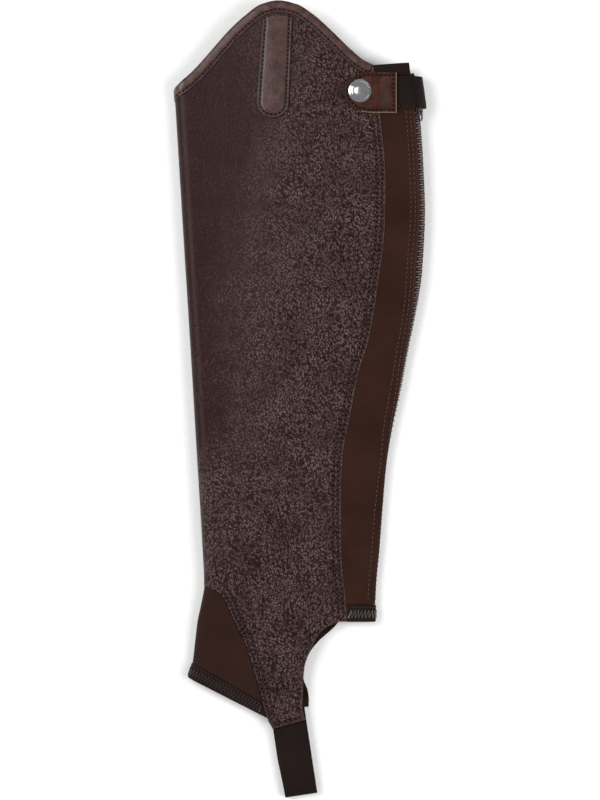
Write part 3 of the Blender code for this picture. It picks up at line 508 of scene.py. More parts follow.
def add_node(tree: Tree, kind: str, inputs: Optional[dict] = None, **settings: Any) -> bpy.types.Node:
    """Add a node to a tree.

    Args:
        tree: the shader or geometry tree.
        kind: the node's type.
        inputs: what its inputs read, by the input's name or number.
        settings: properties of the node itself.

    Returns:
        The node.
    """
    node = tree.nodes.new(kind)
    for name, value in settings.items():
        setattr(node, name, value)
    for name, value in (inputs or {}).items():
        feed(tree, node.inputs[name], value)
    return node


@dataclass(frozen=True, kw_only=True)
class Finish:
    """What every finish has: its name, how matt it is, and how deep its relief is (mm)."""

    name: str
    roughness: float = 0.5
    relief: float = 0.05
    shine: float = 0.5
    metallic: float = 0.0
    sheen: float = 0.0
    # The edge colour is painted along the edge that a panel shows: the raw cut edge's own colour on the hide
    # and the tab, painted shade along the binding's and the patch's edges, and a painted highlight along the
    # stretch panel's fold.
    cut_colour_and_edge_light: Optional[str] = None  # colour of the edge that a panel shows
    edge_band_width: float = 0.9  # how far in from there it reaches (mm)
    # The trough colour is painted shade in the trough that a row of stitches pulls in.
    trough: Optional[str] = None  # colour of the dark trough under a row of stitches
    trough_width: float = 1.3

    def draw(self, tree: Tree) -> tuple[Source, ...]:
        """Colour and height, from 0 to 1, of the finish, and its roughness where that varies."""
        raise NotImplementedError

    def edged(self, tree: Tree, colour: Source) -> Source:
        """The colour, with painted shade in the troughs beside the stitches and the edge colour painted by
        the distances that a panel's mesh holds.

        Args:
            tree: the material's tree.
            colour: the finish's own colour.

        Returns:
            The colour that shows.
        """
        add = partial(add_node, tree)
        bands = (("sewing", self.trough, self.trough_width, 0.75),
            ("cut_edge", self.cut_colour_and_edge_light, self.edge_band_width, 1.0))
        for distance, tint, width, share in bands:
            if tint:
                away = add("ShaderNodeAttribute", attribute_name=distance).outputs["Fac"]
                near = add("ShaderNodeMapRange", {"Value": away, "From Min": 0.35 * width, "From Max": width,
                    "To Min": share, "To Max": 0.0}, interpolation_type="SMOOTHSTEP")
                colour = add("ShaderNodeMix", {0: near, 6: colour, 7: srgb(tint)},
                    data_type="RGBA").outputs[2]
        return colour

    def build(self) -> Material:
        """Build the material.

        Returns:
            The material.
        """
        material = bpy.data.materials.new(self.name)
        material.use_nodes = True
        tree = material.node_tree
        shader = tree.nodes["Principled BSDF"]
        colour, height, *gloss = self.draw(tree)
        bump = add_node(tree, "ShaderNodeBump",
            {"Height": height, "Distance": self.relief * MM, "Strength": 1.0})
        inputs = {"Base Color": self.edged(tree, colour), "Normal": bump, "Metallic": self.metallic,
            "Roughness": gloss[0] if gloss else self.roughness, "Specular IOR Level": self.shine,
            "Sheen Weight": self.sheen, "Sheen Roughness": 0.5}
        for name, value in inputs.items():
            feed(tree, shader.inputs[name], value)
        return material


@dataclass(frozen=True, kw_only=True)
class GrainedLeather(Finish):
    """Drum-dyed full-grain cowhide: waxed pebbles that catch the light, with a painted highlight on their
    crests and painted shade in the valleys between.
    """

    ground: str
    worn: str
    # The crest colour is a painted highlight on each pebble's crest, partly wear; the valley colour is
    # painted shade in the valleys and the fine creases.
    crest: str
    valley_shade: str
    matt: float = 0.42  # roughness where the grain is weak
    pebble: float = 1.5  # spacing of the pebbles across the leg (mm)
    slender: float = 1.3  # their length against their width
    lean: float = 12.0  # degrees that they lean forwards from upright
    pore: float = 1.0  # size of the finest grain (mm), and its share of the relief
    pore_share: float = 0.2
    least_grain: float = 0.1  # grain that is left in the smooth zone

    def draw(self, tree: Tree) -> tuple[Source, ...]:
        """Colour and height of the grain.

        Args:
            tree: the material's tree.

        Returns:
            Colour, height and roughness.
        """
        add = partial(add_node, tree)
        pattern = add("ShaderNodeUVMap", uv_map="pattern")
        moved = pattern
        # The pebbles' rows drift over the hide, and each pebble is a little out of true.
        for size, reach in ((33.0, 12.0), (4.5, 0.9)):
            noise = add("ShaderNodeTexNoise", {"Vector": pattern, "Scale": each(size), "Detail": 1.0})
            shift = add("ShaderNodeVectorMath", {0: noise.outputs["Color"], "Scale": reach * MM},
                operation="SCALE")
            moved = add("ShaderNodeVectorMath", {0: moved, 1: shift}, operation="ADD")
        hide = add("ShaderNodeMapping", {"Vector": moved, "Scale": (1.0, self.slender, 1.0),
            "Rotation": (0.0, 0.0, math.radians(self.lean))}, vector_type="TEXTURE")
        away = add("ShaderNodeTexVoronoi", {"Vector": hide, "Scale": each(self.pebble), "Randomness": 0.9})
        # Each cell is a pebble, and away is the distance from its middle: its crest gets a painted highlight,
        # partly wear, and past its rim the valleys get painted shade. The pores are finer grain on the
        # pebbles.
        crest = add("ShaderNodeMapRange", {"Value": away, "From Min": 0.44, "From Max": 0.05},
            interpolation_type="SMOOTHSTEP")
        pores = self.spread(tree, hide, self.pore, (0.36, 0.64), (0.0, 1.0), 1.0)
        crest = add("ShaderNodeMix", {0: self.pore_share, 2: crest, 3: pores}, data_type="FLOAT")
        valley_shade = add("ShaderNodeMapRange", {"Value": away, "From Min": 0.45, "From Max": 0.66,
            "To Max": 0.85}, interpolation_type="SMOOTHSTEP")
        # How strong all this is changes over the hide, and so does the dye's tone; the painted highlight on
        # the crests is brighter in random patches.
        zone = self.grain_zone(tree, pattern)
        strength = self.spread(tree, pattern, 5.0, (0.34, 0.66), (0.75, 1.0), zone)
        shown = self.spread(tree, pattern, 24.0, (0.36, 0.64), (0.5, 0.9), strength)
        wrinkle = self.wrinkles(tree, moved)
        tone = self.spread(tree, pattern, 70.0, (0.38, 0.64), (0.5, 1.0), zone)
        # Painted highlight on the crests, in patches, and painted shade in the valleys and the fine creases.
        painted_highlight = add("ShaderNodeMath", {0: crest, 1: shown}, operation="MULTIPLY")
        deep = add("ShaderNodeMath", {0: valley_shade, 1: strength}, operation="MULTIPLY")
        deep = add("ShaderNodeMath", {0: deep, 1: wrinkle}, operation="MAXIMUM")
        colour = add("ShaderNodeMix", {0: tone, 6: srgb(self.ground), 7: srgb(self.worn)},
            data_type="RGBA").outputs[2]
        for share, tint in ((painted_highlight, self.crest), (deep, self.valley_shade)):
            colour = add("ShaderNodeMix", {0: share, 6: colour, 7: srgb(tint)}, data_type="RGBA").outputs[2]
        height = add("ShaderNodeMath", {0: crest, 1: strength}, operation="MULTIPLY")
        height = add("ShaderNodeMath", {0: wrinkle, 1: -0.8, 2: height}, operation="MULTIPLY_ADD")
        gloss = add("ShaderNodeMapRange", {"Value": zone, "To Min": self.matt, "To Max": self.roughness})
        return colour, height, gloss

    def spread(self, tree: Tree, pattern: Source, size: float, band: tuple[float, float],
               result: tuple[float, float], times: Any) -> Source:
        """Patches of a size in mm: noise between two values becomes a result, times another socket's value.

        Args:
            tree: the material's tree.
            pattern: the place on the hide.
            size: the size in mm.
            band: the two noise values.
            result: what they become.
            times: what that is multiplied by.

        Returns:
            The product.
        """
        add = partial(add_node, tree)
        noise = add("ShaderNodeTexNoise", {"Vector": pattern, "Scale": each(size), "Detail": 3.0})
        share = add("ShaderNodeMapRange", {"Value": noise.outputs[0], "From Min": band[0],
            "From Max": band[1], "To Min": result[0], "To Max": result[1]})
        return add("ShaderNodeMath", {0: share, 1: times}, operation="MULTIPLY")

    def grain_zone(self, tree: Tree, pattern: Source) -> Source:
        """How strong the grain is: weak up the shin, where the hide was stretched over the last, else full.

        Args:
            tree: the material's tree.
            pattern: the place on the hide.

        Returns:
            The strength, up to 1.
        """
        add = partial(add_node, tree)
        # The smooth zone's edge is a girth in metres that grows with the height: no zone below the calf, then
        # the shin, then most of the front. Noise makes the edge ragged.
        spot = add("ShaderNodeSeparateXYZ", {"Vector": pattern}).outputs
        girth = add("ShaderNodeMath", {0: spot["X"]}, operation="ABSOLUTE")
        start = add("ShaderNodeMapRange", {"Value": spot["Y"], "From Min": 0.235,
            "From Max": 0.275, "To Min": -0.030, "To Max": 0.042})
        upper = add("ShaderNodeMapRange", {"Value": spot["Y"], "From Min": 0.36,
            "From Max": 0.50, "To Max": 0.036})
        start = add("ShaderNodeMath", {0: start, 1: upper}, operation="ADD")
        past = add("ShaderNodeMath", {0: girth, 1: start}, operation="SUBTRACT")
        ragged = self.spread(tree, pattern, 33.0, (0.0, 1.0), (0.0, 1.0), 50.0 * MM)
        past = add("ShaderNodeMath", {0: past, 1: ragged}, operation="ADD")
        return add("ShaderNodeMapRange", {"Value": past, "From Min": -0.010, "From Max": 0.060,
            "To Min": self.least_grain}, interpolation_type="SMOOTHSTEP")

    def wrinkles(self, tree: Tree, pattern: Source) -> Source:
        """Fine creases that run up the leg, deepest at the ankle.

        Args:
            tree: the material's tree.
            pattern: the place on the hide, drifted as the pebbles are.

        Returns:
            Their depth, from 0 to 1.
        """
        add = partial(add_node, tree)
        # Long thin cells, whose edges are the creases, fading upwards and shown in patches.
        drawn = add("ShaderNodeMapping", {"Vector": pattern, "Scale": (1.0, 4.0, 1.0),
            "Rotation": (0.0, 0.0, math.radians(8.0))}, vector_type="TEXTURE")
        lines = add("ShaderNodeTexVoronoi", {"Vector": drawn, "Scale": each(6.5)}, feature="DISTANCE_TO_EDGE")
        lines = add("ShaderNodeMapRange", {"Value": lines, "From Min": 0.07, "From Max": 0.0},
            interpolation_type="SMOOTHSTEP")
        height = add("ShaderNodeSeparateXYZ", {"Vector": pattern}).outputs["Y"]
        depth = add("ShaderNodeMapRange", {"Value": height, "From Min": 0.42,
            "From Max": 0.20, "To Min": 0.12, "To Max": 0.75})
        depth = self.spread(tree, pattern, 14.0, (0.45, 0.60), (0.0, 1.0), depth)
        return add("ShaderNodeMath", {0: lines, 1: depth}, operation="MULTIPLY")


@dataclass(frozen=True, kw_only=True)
class SmoothLeather(Finish):
    """Plain dyed leather with a light wax finish: fine hair pores, cloudy dye and a satin shine."""

    dye: str
    cloud: str
    pore: float = 0.9
    cloud_size: float = 14.0
    mottle_size: float = 1.6
    band: tuple[float, float] = (0.56, 0.90)  # the noise values between which the dye fades to the cloud

    def draw(self, tree: Tree) -> tuple[Source, ...]:
        """Colour and height of the pores and the dye's clouds.

        Args:
            tree: the material's tree.

        Returns:
            Colour and height.
        """
        add = partial(add_node, tree)
        pattern = add("ShaderNodeUVMap", uv_map="pattern")
        pores = add("ShaderNodeTexVoronoi", {"Vector": pattern, "Scale": each(self.pore)})
        cloud = add("ShaderNodeTexNoise", {"Vector": pattern, "Scale": each(self.cloud_size), "Detail": 4.0})
        mottle = add("ShaderNodeTexNoise",
            {"Vector": pattern, "Scale": each(self.mottle_size), "Detail": 2.0})
        tone = add("ShaderNodeMath", {0: mottle, 1: 0.45, 2: cloud}, operation="MULTIPLY_ADD")
        tone = add("ShaderNodeMapRange", {"Value": tone, "From Min": self.band[0], "From Max": self.band[1]})
        colour = add("ShaderNodeMix", {0: tone, 6: srgb(self.dye), 7: srgb(self.cloud)},
            data_type="RGBA").outputs[2]
        return colour, pores


class Weave(Enum):
    """How a cloth's threads run, in degrees from across the leg."""

    KNIT = 90.0
    TWILL = 38.0
    RIB = 0.0


@dataclass(frozen=True, kw_only=True)
class ClothFinish(Finish):
    """Synthetic cloth: matt, with a soft sheen from its brushed or textured threads."""

    colour: str
    fleck: str
    weave: Weave = Weave.KNIT
    thread: float = 0.8  # spacing of the threads or ribs (mm), drawn no finer than shows
    thread_share: float = 0.3  # how much of the relief is threads, and not loose fibres
    cloud_size: float = 100 / 3  # size of the patches in which the flecks gather (mm)

    def draw(self, tree: Tree) -> tuple[Source, ...]:
        """Colour and height of the threads.

        Args:
            tree: the material's tree.

        Returns:
            Colour and height.
        """
        add = partial(add_node, tree)
        pattern = add("ShaderNodeUVMap", uv_map="pattern")
        fibres = add("ShaderNodeTexNoise", {"Vector": pattern, "Scale": each(self.thread), "Detail": 3.0})
        turned = add("ShaderNodeMapping",
            {"Vector": pattern, "Rotation": (0.0, 0.0, math.radians(self.weave.value))})
        # A wave at scale 1 repeats every tenth of a full turn.
        threads = add("ShaderNodeTexWave", {"Vector": turned, "Scale": math.tau / 20 * each(self.thread),
            "Distortion": 0.6, "Detail": 1.0, "Detail Scale": 2.0}).outputs["Fac"]
        height = add("ShaderNodeMix", {0: self.thread_share, 2: fibres, 3: threads}, data_type="FLOAT")
        cloud = add("ShaderNodeTexNoise", {"Vector": pattern, "Scale": each(self.cloud_size), "Detail": 3.0})
        tone = add("ShaderNodeMath", {0: cloud, 1: height}, operation="MULTIPLY")
        tone = add("ShaderNodeMapRange", {"Value": tone, "From Min": 0.12, "From Max": 0.42})
        colour = add("ShaderNodeMix", {0: tone, 6: srgb(self.colour), 7: srgb(self.fleck)},
            data_type="RGBA").outputs[2]
        return colour, height


@dataclass(frozen=True, kw_only=True)
class PlainFinish(Finish):
    """Thread, coil, enamel or plating: one material with faint marks."""

    colour: str
    mark: str
    mark_size: float = 0.5

    def draw(self, tree: Tree) -> tuple[Source, ...]:
        """Colour and height of the marks.

        Args:
            tree: the material's tree.

        Returns:
            Colour and height.
        """
        add = partial(add_node, tree)
        place = add("ShaderNodeTexCoord").outputs["Object"]
        marks = add("ShaderNodeTexNoise", {"Vector": place, "Scale": each(self.mark_size), "Detail": 3.0})
        tone = add("ShaderNodeMapRange", {"Value": marks, "From Min": 0.4, "From Max": 0.65})
        colour = add("ShaderNodeMix", {0: tone, 6: srgb(self.colour), 7: srgb(self.mark)},
            data_type="RGBA").outputs[2]
        return colour, marks


class Palette:
    """Every finish of the gaiter, built once."""

    def __init__(self) -> None:
        """Build the materials."""
        # Full-grain cowhide with a wax finish: dark, reddish, a glint on each pebble that is partly a painted
        # highlight, painted shade in its valleys, pale where it is cut.
        self.hide = GrainedLeather(name="full_grain_cowhide", ground="#250f0e", worn="#391f1d",
            crest="#9e8a86", valley_shade="#080202", relief=1.0, roughness=0.26, shine=0.13,
            cut_colour_and_edge_light="#4e3a31", trough="#120807").build()
        # The unfinished underside of the hide, matt and fibrous.
        self.flesh = SmoothLeather(name="cowhide_flesh_side", dye="#1e130e", cloud="#30211a", pore=1.2,
            relief=0.12, roughness=0.88, shine=0.2).build()
        # Thin leather folded round the edge, satin where it bends, with painted shade along its rolled edges.
        self.binding = SmoothLeather(name="folded_binding_leather", dye="#241110", cloud="#573b35",
            relief=0.12, cloud_size=5.0, mottle_size=1.2, band=(0.45, 0.95), pore=1.3, roughness=0.32,
            shine=0.4, trough="#120807", cut_colour_and_edge_light="#150908", edge_band_width=1.3).build()
        # The same thin leather laid flat: duller than the binding, cut, and with painted shade along its
        # edge.
        self.patch = SmoothLeather(name="smooth_patch_leather", dye="#241110", cloud="#4c332f",
            cloud_size=8.0, mottle_size=1.2, band=(0.45, 0.92), pore=1.5, relief=0.16, roughness=0.36,
            shine=0.35, trough="#150a09", cut_colour_and_edge_light="#190d0c", edge_band_width=0.7).build()
        # Waxed bridle leather, browner and shinier than the leg, with a pale cut edge.
        self.tab = SmoothLeather(name="waxed_bridle_leather", dye="#27110b", cloud="#442317", cloud_size=8.0,
            relief=0.05, roughness=0.34, shine=0.22, cut_colour_and_edge_light="#7d6253", edge_band_width=0.9, trough="#180b07").build()
        # Brushed microfibre and smooth stretch knit: matt browns, no highlight of their own; the microfibre's
        # redder band along its fold by the zip is a painted highlight.
        self.stretch = ClothFinish(name="brushed_stretch_microfibre", colour="#25130d",
            fleck="#351e16", thread=0.9, relief=0.08, roughness=0.92, shine=0.15,
            sheen=0.04, cut_colour_and_edge_light="#382320", edge_band_width=3.6).build()
        self.gusset = ClothFinish(name="smooth_stretch_knit", colour="#25130e", fleck="#2f1b15",
            weave=Weave.TWILL, thread=0.7, relief=0.05, roughness=0.85, shine=0.15, sheen=0.03).build()
        # Black elastic tapes, ribbed across their length.
        self.hem = ClothFinish(name="hem_elastic_tape", colour="#130b09", fleck="#231815", weave=Weave.RIB,
            thread=1.0, thread_share=0.7, relief=0.1, roughness=0.9, shine=0.2, sheen=0.02).build()
        self.elastic = ClothFinish(name="woven_elastic", colour="#110908", fleck="#201411", weave=Weave.RIB,
            thread=1.3, thread_share=0.5, relief=0.09, roughness=0.88, shine=0.2, sheen=0.03).build()
        # Woven polyester tape, matt and a little browner than the elastics.
        self.tape = ClothFinish(name="woven_zip_tape", colour="#1f1512", fleck="#2b1e19", weave=Weave.TWILL,
            relief=0.08, roughness=0.9, shine=0.2, sheen=0.02).build()
        # Bonded sewing thread, smooth with a low shine; its needle holes are black discs of painted shade.
        self.dark_thread = PlainFinish(name="bonded_thread_dark", colour="#22110f", mark="#32201c").build()
        self.seam_thread = PlainFinish(name="bonded_thread_chestnut",
            colour="#2f1b17", mark="#3f2924").build()
        self.zip_thread = PlainFinish(name="bonded_thread_brown", colour="#38271f", mark="#4d3a2f").build()
        self.hem_thread = PlainFinish(name="textured_thread_olive",
            colour="#7b726b", mark="#9a8f86", roughness=0.6).build()
        self.instep_thread = PlainFinish(name="textured_thread_umber",
            colour="#463d39", mark="#5f544e", roughness=0.6).build()
        # Black discs of painted shade where the needle holes are.
        self.needle_hole = PlainFinish(name="needle_hole", colour="#070404",
            mark="#0b0706", roughness=0.9, shine=0.1).build()
        # Nylon monofilament: hard, smooth, a little translucent: a soft highlight runs along each tooth.
        self.coil = PlainFinish(name="nylon_zip_coil", colour="#5c514d",
            mark="#7d736f", roughness=0.3, mark_size=1.0).build()
        # Die-cast zinc under dark enamel: nearly black, with a tight highlight.
        self.enamel = PlainFinish(name="enamelled_zinc", colour="#0b0909", mark="#141111",
            roughness=0.28, mark_size=2.0, relief=0.01).build()
        # Polished plating over brass: it mirrors the softboxes as white patches and all else as dark grey.
        self.chrome = PlainFinish(name="chromed_brass", colour="#c4c6c8", mark="#cecfd1", roughness=0.13,
            metallic=1.0, mark_size=3.0, relief=0.002).build()
        # Nickel plating, yellower and duller than chrome.
        self.nickel = PlainFinish(name="nickelled_brass", colour="#a9a8a2", mark="#b9b8b2", roughness=0.25,
            metallic=1.0, mark_size=3.0, relief=0.004).build()


def placed(name: str, data: Any) -> bpy.types.Object:
    """A new object in the scene.

    Args:
        name: its name.
        data: the mesh, curve, light or camera that it shows.

    Returns:
        The object.
    """
    thing = bpy.data.objects.new(name, data)
    bpy.context.scene.collection.objects.link(thing)
    return thing


def merged(shape: bmesh.types.BMesh, mesh: Mesh) -> Mesh:
    """Write a worked shape into a mesh, its points joined and its faces turned outwards.

    Args:
        shape: the shape, which is freed.
        mesh: where it goes.

    Returns:
        The same mesh.
    """
    bmesh.ops.remove_doubles(shape, verts=shape.verts, dist=MERGED)
    bmesh.ops.recalc_face_normals(shape, faces=shape.faces)
    shape.to_mesh(mesh)
    shape.free()
    return mesh


def mesh_object(name: str, mesh: Mesh, materials: list[Material], body: str = BODY,
                nodes: tuple[str, ...] = ()) -> bpy.types.Object:
    """Put a finished mesh in the scene, riding a body and standing for its solids.

    Args:
        name: the piece's name.
        mesh: what it shows.
        materials: its materials in order, none where the mesh has them.
        body: the body that it rides.
        nodes: the solids that it stands for.

    Returns:
        The object.
    """
    for material in materials:
        mesh.materials.append(material)
    thing = placed(name, mesh)
    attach(thing, body)
    if nodes:
        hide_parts(*nodes)
    LOG.info("%s: %d faces", name, len(mesh.polygons))
    return thing


class Nearness:
    """Distances from points to lines that are sampled finely."""

    step = 0.3

    def __init__(self, lines: list[Line], closed: bool = False) -> None:
        """Sample the lines.

        Args:
            lines: lists of pattern points.
            closed: True where the last point of each joins its first.
        """
        samples = np.vstack([walked(line, self.step, closed) for line in lines])
        self.tree = KDTree(len(samples))
        for index, (girth, height) in enumerate(samples):
            self.tree.insert((girth, height, 0.0), index)
        self.tree.balance()

    def distances(self, points: Array) -> Array:
        """Distance of each pattern point to the line."""
        return np.array([self.tree.find((g, h, 0.0))[2] for g, h in points])


def walked(line: Line, step: float, closed: bool = True) -> Array:
    """A line with points added on its straight stretches, at most a step apart.

    Args:
        line: the line.
        step: the longest step.
        closed: True where its last point joins its first.

    Returns:
        A row of (girth, height) for each point.
    """
    ends = line[1:] + line[:1] if closed else line[1:]
    points = []
    for (g0, h0), (g1, h1) in zip(line, ends):
        length = math.hypot(g1 - g0, h1 - h0)
        if length < 0.02:
            continue
        count = max(1, math.ceil(length / step))
        points += [(g0 + (g1 - g0) * i / count, h0 + (h1 - h0) * i / count) for i in range(count)]
    return np.array(points if closed else points + [line[-1]], float)


def inside_points(edge: Array, cell: float) -> Array:
    """Points of an even grid of triangles inside a closed outline.

    Args:
        edge: the outline's points.
        cell: side of the triangles.

    Returns:
        A row of (girth, height) for each point.
    """
    ends = np.roll(edge, -1, axis=0)
    rows = []
    low, high = edge[:, 1].min() + cell / 2, edge[:, 1].max()
    for k, height in enumerate(np.arange(low, high, cell * EVEN_TRIANGLE)):
        crossing = (edge[:, 1] > height) != (ends[:, 1] > height)
        a, b = edge[crossing], ends[crossing]
        girths = np.sort(a[:, 0] + (height - a[:, 1]) / (b[:, 1] - a[:, 1]) * (b[:, 0] - a[:, 0]))
        row = np.arange(edge[:, 0].min() + (k % 2) * cell / 2, edge[:, 0].max(), cell)
        row = row[np.searchsorted(girths, row) % 2 == 1]
        rows.append(np.column_stack((row, np.full(len(row), height))))
    return np.vstack(rows)


class Triangles(NamedTuple):
    """A triangulated outline: its points, its faces, and which points are the outline's own."""

    points: Array
    faces: Array
    rim: Array


def triangulate(edge: Array, inner: Array) -> Triangles:
    """Join an outline and the points inside it by triangles.

    Args:
        edge: the outline's points in order.
        inner: the points inside it.

    Returns:
        The triangles.
    """
    flat = [Vector(point) for point in np.vstack((edge, inner))]
    points, _, faces, origins, *_ = delaunay_2d_cdt(flat, [], [list(range(len(edge)))], 1, 1e-4)
    place = {source: index for index, sources in enumerate(origins) for source in sources}
    rim = np.array([place[i] for i in range(len(edge))])
    return Triangles(np.array([tuple(point) for point in points]), np.array(faces), rim)


def pattern_mesh(name: str, place: Array, pattern: Array,
                 triangles: Array, quads: Array, kinds: Array) -> Mesh:
    """A mesh from arrays.

    Args:
        name: its name.
        place: a row of three coordinates for each point.
        pattern: a row of (girth, height) for each point, kept in metres as the UV map "pattern".
        triangles: the faces with three corners.
        quads: the faces with four corners.
        kinds: the material index of each face, triangles first.

    Returns:
        The mesh, shaded smooth.
    """
    mesh = bpy.data.meshes.new(name)
    corners = np.concatenate((triangles.ravel(), quads.ravel())).astype(np.int32)
    sizes = np.concatenate((np.full(len(triangles), 3), np.full(len(quads), 4))).astype(np.int32)
    starts = np.concatenate(([0], np.cumsum(sizes)[:-1])).astype(np.int32)
    mesh.vertices.add(len(place))
    mesh.vertices.foreach_set("co", place.astype(np.float32).ravel())
    mesh.loops.add(len(corners))
    mesh.loops.foreach_set("vertex_index", corners)
    mesh.polygons.add(len(sizes))
    mesh.polygons.foreach_set("loop_start", starts)
    mesh.polygons.foreach_set("material_index", kinds.astype(np.int32))
    mesh.uv_layers.new(name="pattern").data.foreach_set("uv",
        (pattern[corners] * MM).astype(np.float32).ravel())
    mesh.update(calc_edges=True)
    mesh.validate()
    mesh.shade_smooth()
    return mesh


class Style(Enum):
    """The kinds of sewing, by their thread."""

    DARK = "dark_edge_stitches"
    SEAM = "chestnut_seam_stitches"
    ZIP = "tan_zip_stitches"
    HEM = "olive_hem_stitches"


class Stitch(NamedTuple):
    """One kind of sewing (mm): spacing, length and width of a stitch, its needle hole, and its trough."""

    pitch: float
    length: float
    width: float
    hole: float
    trough: float
    slot: str


STITCHES = {
    Style.DARK: Stitch(3.3, 1.9, 0.75, 0.62, 0.40, "leather"), Style.SEAM: Stitch(3.6, 2.3, 0.75, 0.55, 0.35,
    "leather"), Style.ZIP: Stitch(3.6, 2.5, 0.70, 0.35, 0.25, "stretch_fabric"),
    Style.HEM: Stitch(2.7, 1.5, 0.60, 0.35, 0.20, "hem"),
}


class Row(NamedTuple):
    """A row of stitches along a pattern line."""

    style: Style
    line: Line


class Cloth(NamedTuple):
    """A cloth: how far its outer face stands above the leg, its thickness, and its rounded edge (mm)."""

    lift: float
    thickness: float
    round_width: float = 0.5
    round_drop: float = 0.45
    rolled: bool = False  # True where the edge is folded, so that it is as round below


def level(girth: Array, height: Array) -> Array:
    """The rise of a cloth that lies flat on the leg."""
    return np.zeros(len(girth))


@dataclass
class Panel:
    """One cut piece of leather or cloth, laid on the leg as a fine closed shell."""

    name: str
    nodes: tuple[str, ...]
    slot: str
    outline: Line
    cloth: Cloth
    face: Material
    inside: Material
    cell: float = 2.0
    rows: tuple[Row, ...] = ()
    cut_edge: Optional[Line] = None  # the part of the outline that the finish's edge colour follows; else all
    rise: Callable[[Array, Array], Array] = level
    crown: float = 0.0
    crown_reach: float = 3.0
    held: str = "laid"
    strip: Optional[float] = None  # width of a piece that is cut as a straight strip (mm)

    def __post_init__(self) -> None:
        """Turn the outline anticlockwise and measure its lines."""
        if self.area() < 0.0:
            self.outline = self.outline[::-1]
        self.rim = Nearness([self.outline], True)
        self.edge = Nearness([self.cut_edge]) if self.cut_edge else self.rim
        styles = sorted({row.style for row in self.rows}, key=lambda style: style.value)
        self.lines = [(STITCHES[style], Nearness([row.line for row in self.rows if row.style is style]))
            for style in styles]
        self.thing: Optional[bpy.types.Object] = None

    def area(self) -> float:
        """Signed flat area of the cut piece, in square millimetres.

        Returns:
            The area, negative where the outline runs clockwise.
        """
        points = np.array(self.outline)
        after = np.roll(points, -1, axis=0)
        return float(np.sum(points[:, 0] * after[:, 1] - after[:, 0] * points[:, 1]) / 2)

    def surface(self, points: Array) -> Array:
        """Lift of the outer face at pattern points: crowned, rounded at its edge and pulled in by its sewing.

        Args:
            points: a row of (girth, height) for each.

        Returns:
            The lift of each.
        """
        lift = self.cloth.lift + self.rise(points[:, 0], points[:, 1])
        edge = self.rim.distances(points)
        lift += self.crown * (1.0 - np.exp(-((edge / self.crown_reach) ** 2)))
        near = np.clip(1.0 - edge / self.cloth.round_width, 0.0, 1.0)
        lift -= self.cloth.round_drop * (1.0 - np.sqrt(1.0 - near * near))
        for stitch, line in self.lines:
            lift -= stitch.trough * np.exp(-((line.distances(points) / (stitch.width * 1.3)) ** 2))
        return lift

    def build(self) -> bpy.types.Object:
        """Make the shell.

        Returns:
            The object, which the panel keeps as its thing.
        """
        edge = walked(self.outline, self.cell)
        ring_widths = [self.cloth.round_width * part for part in ((1.0,) if self.cell > 1.6 else (0.35, 1.0))]
        shell = triangulate(edge, self.inner_points(edge, self.cell, ring_widths))
        under_rings = ring_widths if self.cloth.rolled else []
        lining = triangulate(edge, self.inner_points(edge, 3.0 * self.cell, under_rings))
        base = self.cloth.lift + self.rise(lining.points[:, 0], lining.points[:, 1])
        depth = np.full(len(lining.points), self.cloth.thickness)
        if self.cloth.rolled:
            near = np.clip(1.0 - self.rim.distances(lining.points) / self.cloth.round_width, 0.0, 1.0)
            depth -= (self.cloth.thickness - self.cloth.round_drop
                - SEAM_GAP) * (1.0 - np.sqrt(1.0 - near * near))
        top = lay(shell.points[:, 0], shell.points[:, 1], self.surface(shell.points))
        bottom = lay(lining.points[:, 0], lining.points[:, 1], base, depth)
        count = len(top)
        a, c = shell.rim, lining.rim + count
        b, d = np.roll(a, -1), np.roll(c, -1)
        walls = np.column_stack((a, c, d, b))
        kinds = np.concatenate((np.zeros(len(shell.faces)), np.ones(len(lining.faces)), np.zeros(len(walls))))
        triangles = np.vstack((shell.faces, lining.faces[:, ::-1] + count))
        pattern = np.vstack((shell.points, lining.points))
        mesh = pattern_mesh(self.name, np.vstack((top, bottom)), pattern, triangles, walls, kinds)
        for key, near in (("cut_edge", [self.edge]), ("sewing", [line for _, line in self.lines])):
            away = np.min([line.distances(pattern) for line in near] or [np.full(len(pattern), UNSEWN)],
                axis=0)
            mesh.attributes.new(key, "FLOAT", "POINT").data.foreach_set("value", away.astype(np.float32))
        mesh.set_sharp_from_angle(angle=SHELL_CORNER)
        self.thing = mesh_object(self.name, mesh, [self.face, self.inside], nodes=self.nodes)
        return self.thing

    def inner_points(self, edge: Array, cell: float, rings: list[float]) -> Array:
        """Points inside the outline: rings beside its edge, then an even grid.

        Args:
            edge: the outline's points.
            cell: side of the grid's triangles.
            rings: how far in each ring lies.

        Returns:
            A row of (girth, height) for each point.
        """
        grid = inside_points(edge, cell)
        widest = max(rings, default=0.0)
        found = [grid[self.rim.distances(grid) > widest + 0.45 * cell]]
        along = unit(np.roll(edge, -1, axis=0) - np.roll(edge, 1, axis=0))
        for width in rings:
            ring = edge + np.column_stack((-along[:, 1], along[:, 0])) * width
            found.append(ring[self.rim.distances(ring) > 0.93 * width])
        return np.vstack(found)

    def declare(self, *trims: bpy.types.Object, rests_on: tuple[str, ...] = ()) -> None:
        """Stand in for stating the cut of its cloth and its trims; it does nothing.

        Args:
            *trims: not used.
            rests_on: not used.
        """


def socket_of(modifier: bpy.types.Modifier, name: str) -> str:
    """Identifier of a Geometry Nodes modifier's input, by the name that the tree gives it."""
    items = modifier.node_group.interface.items_tree
    return next(item.identifier for item in items if item.name == name and item.in_out == "INPUT")


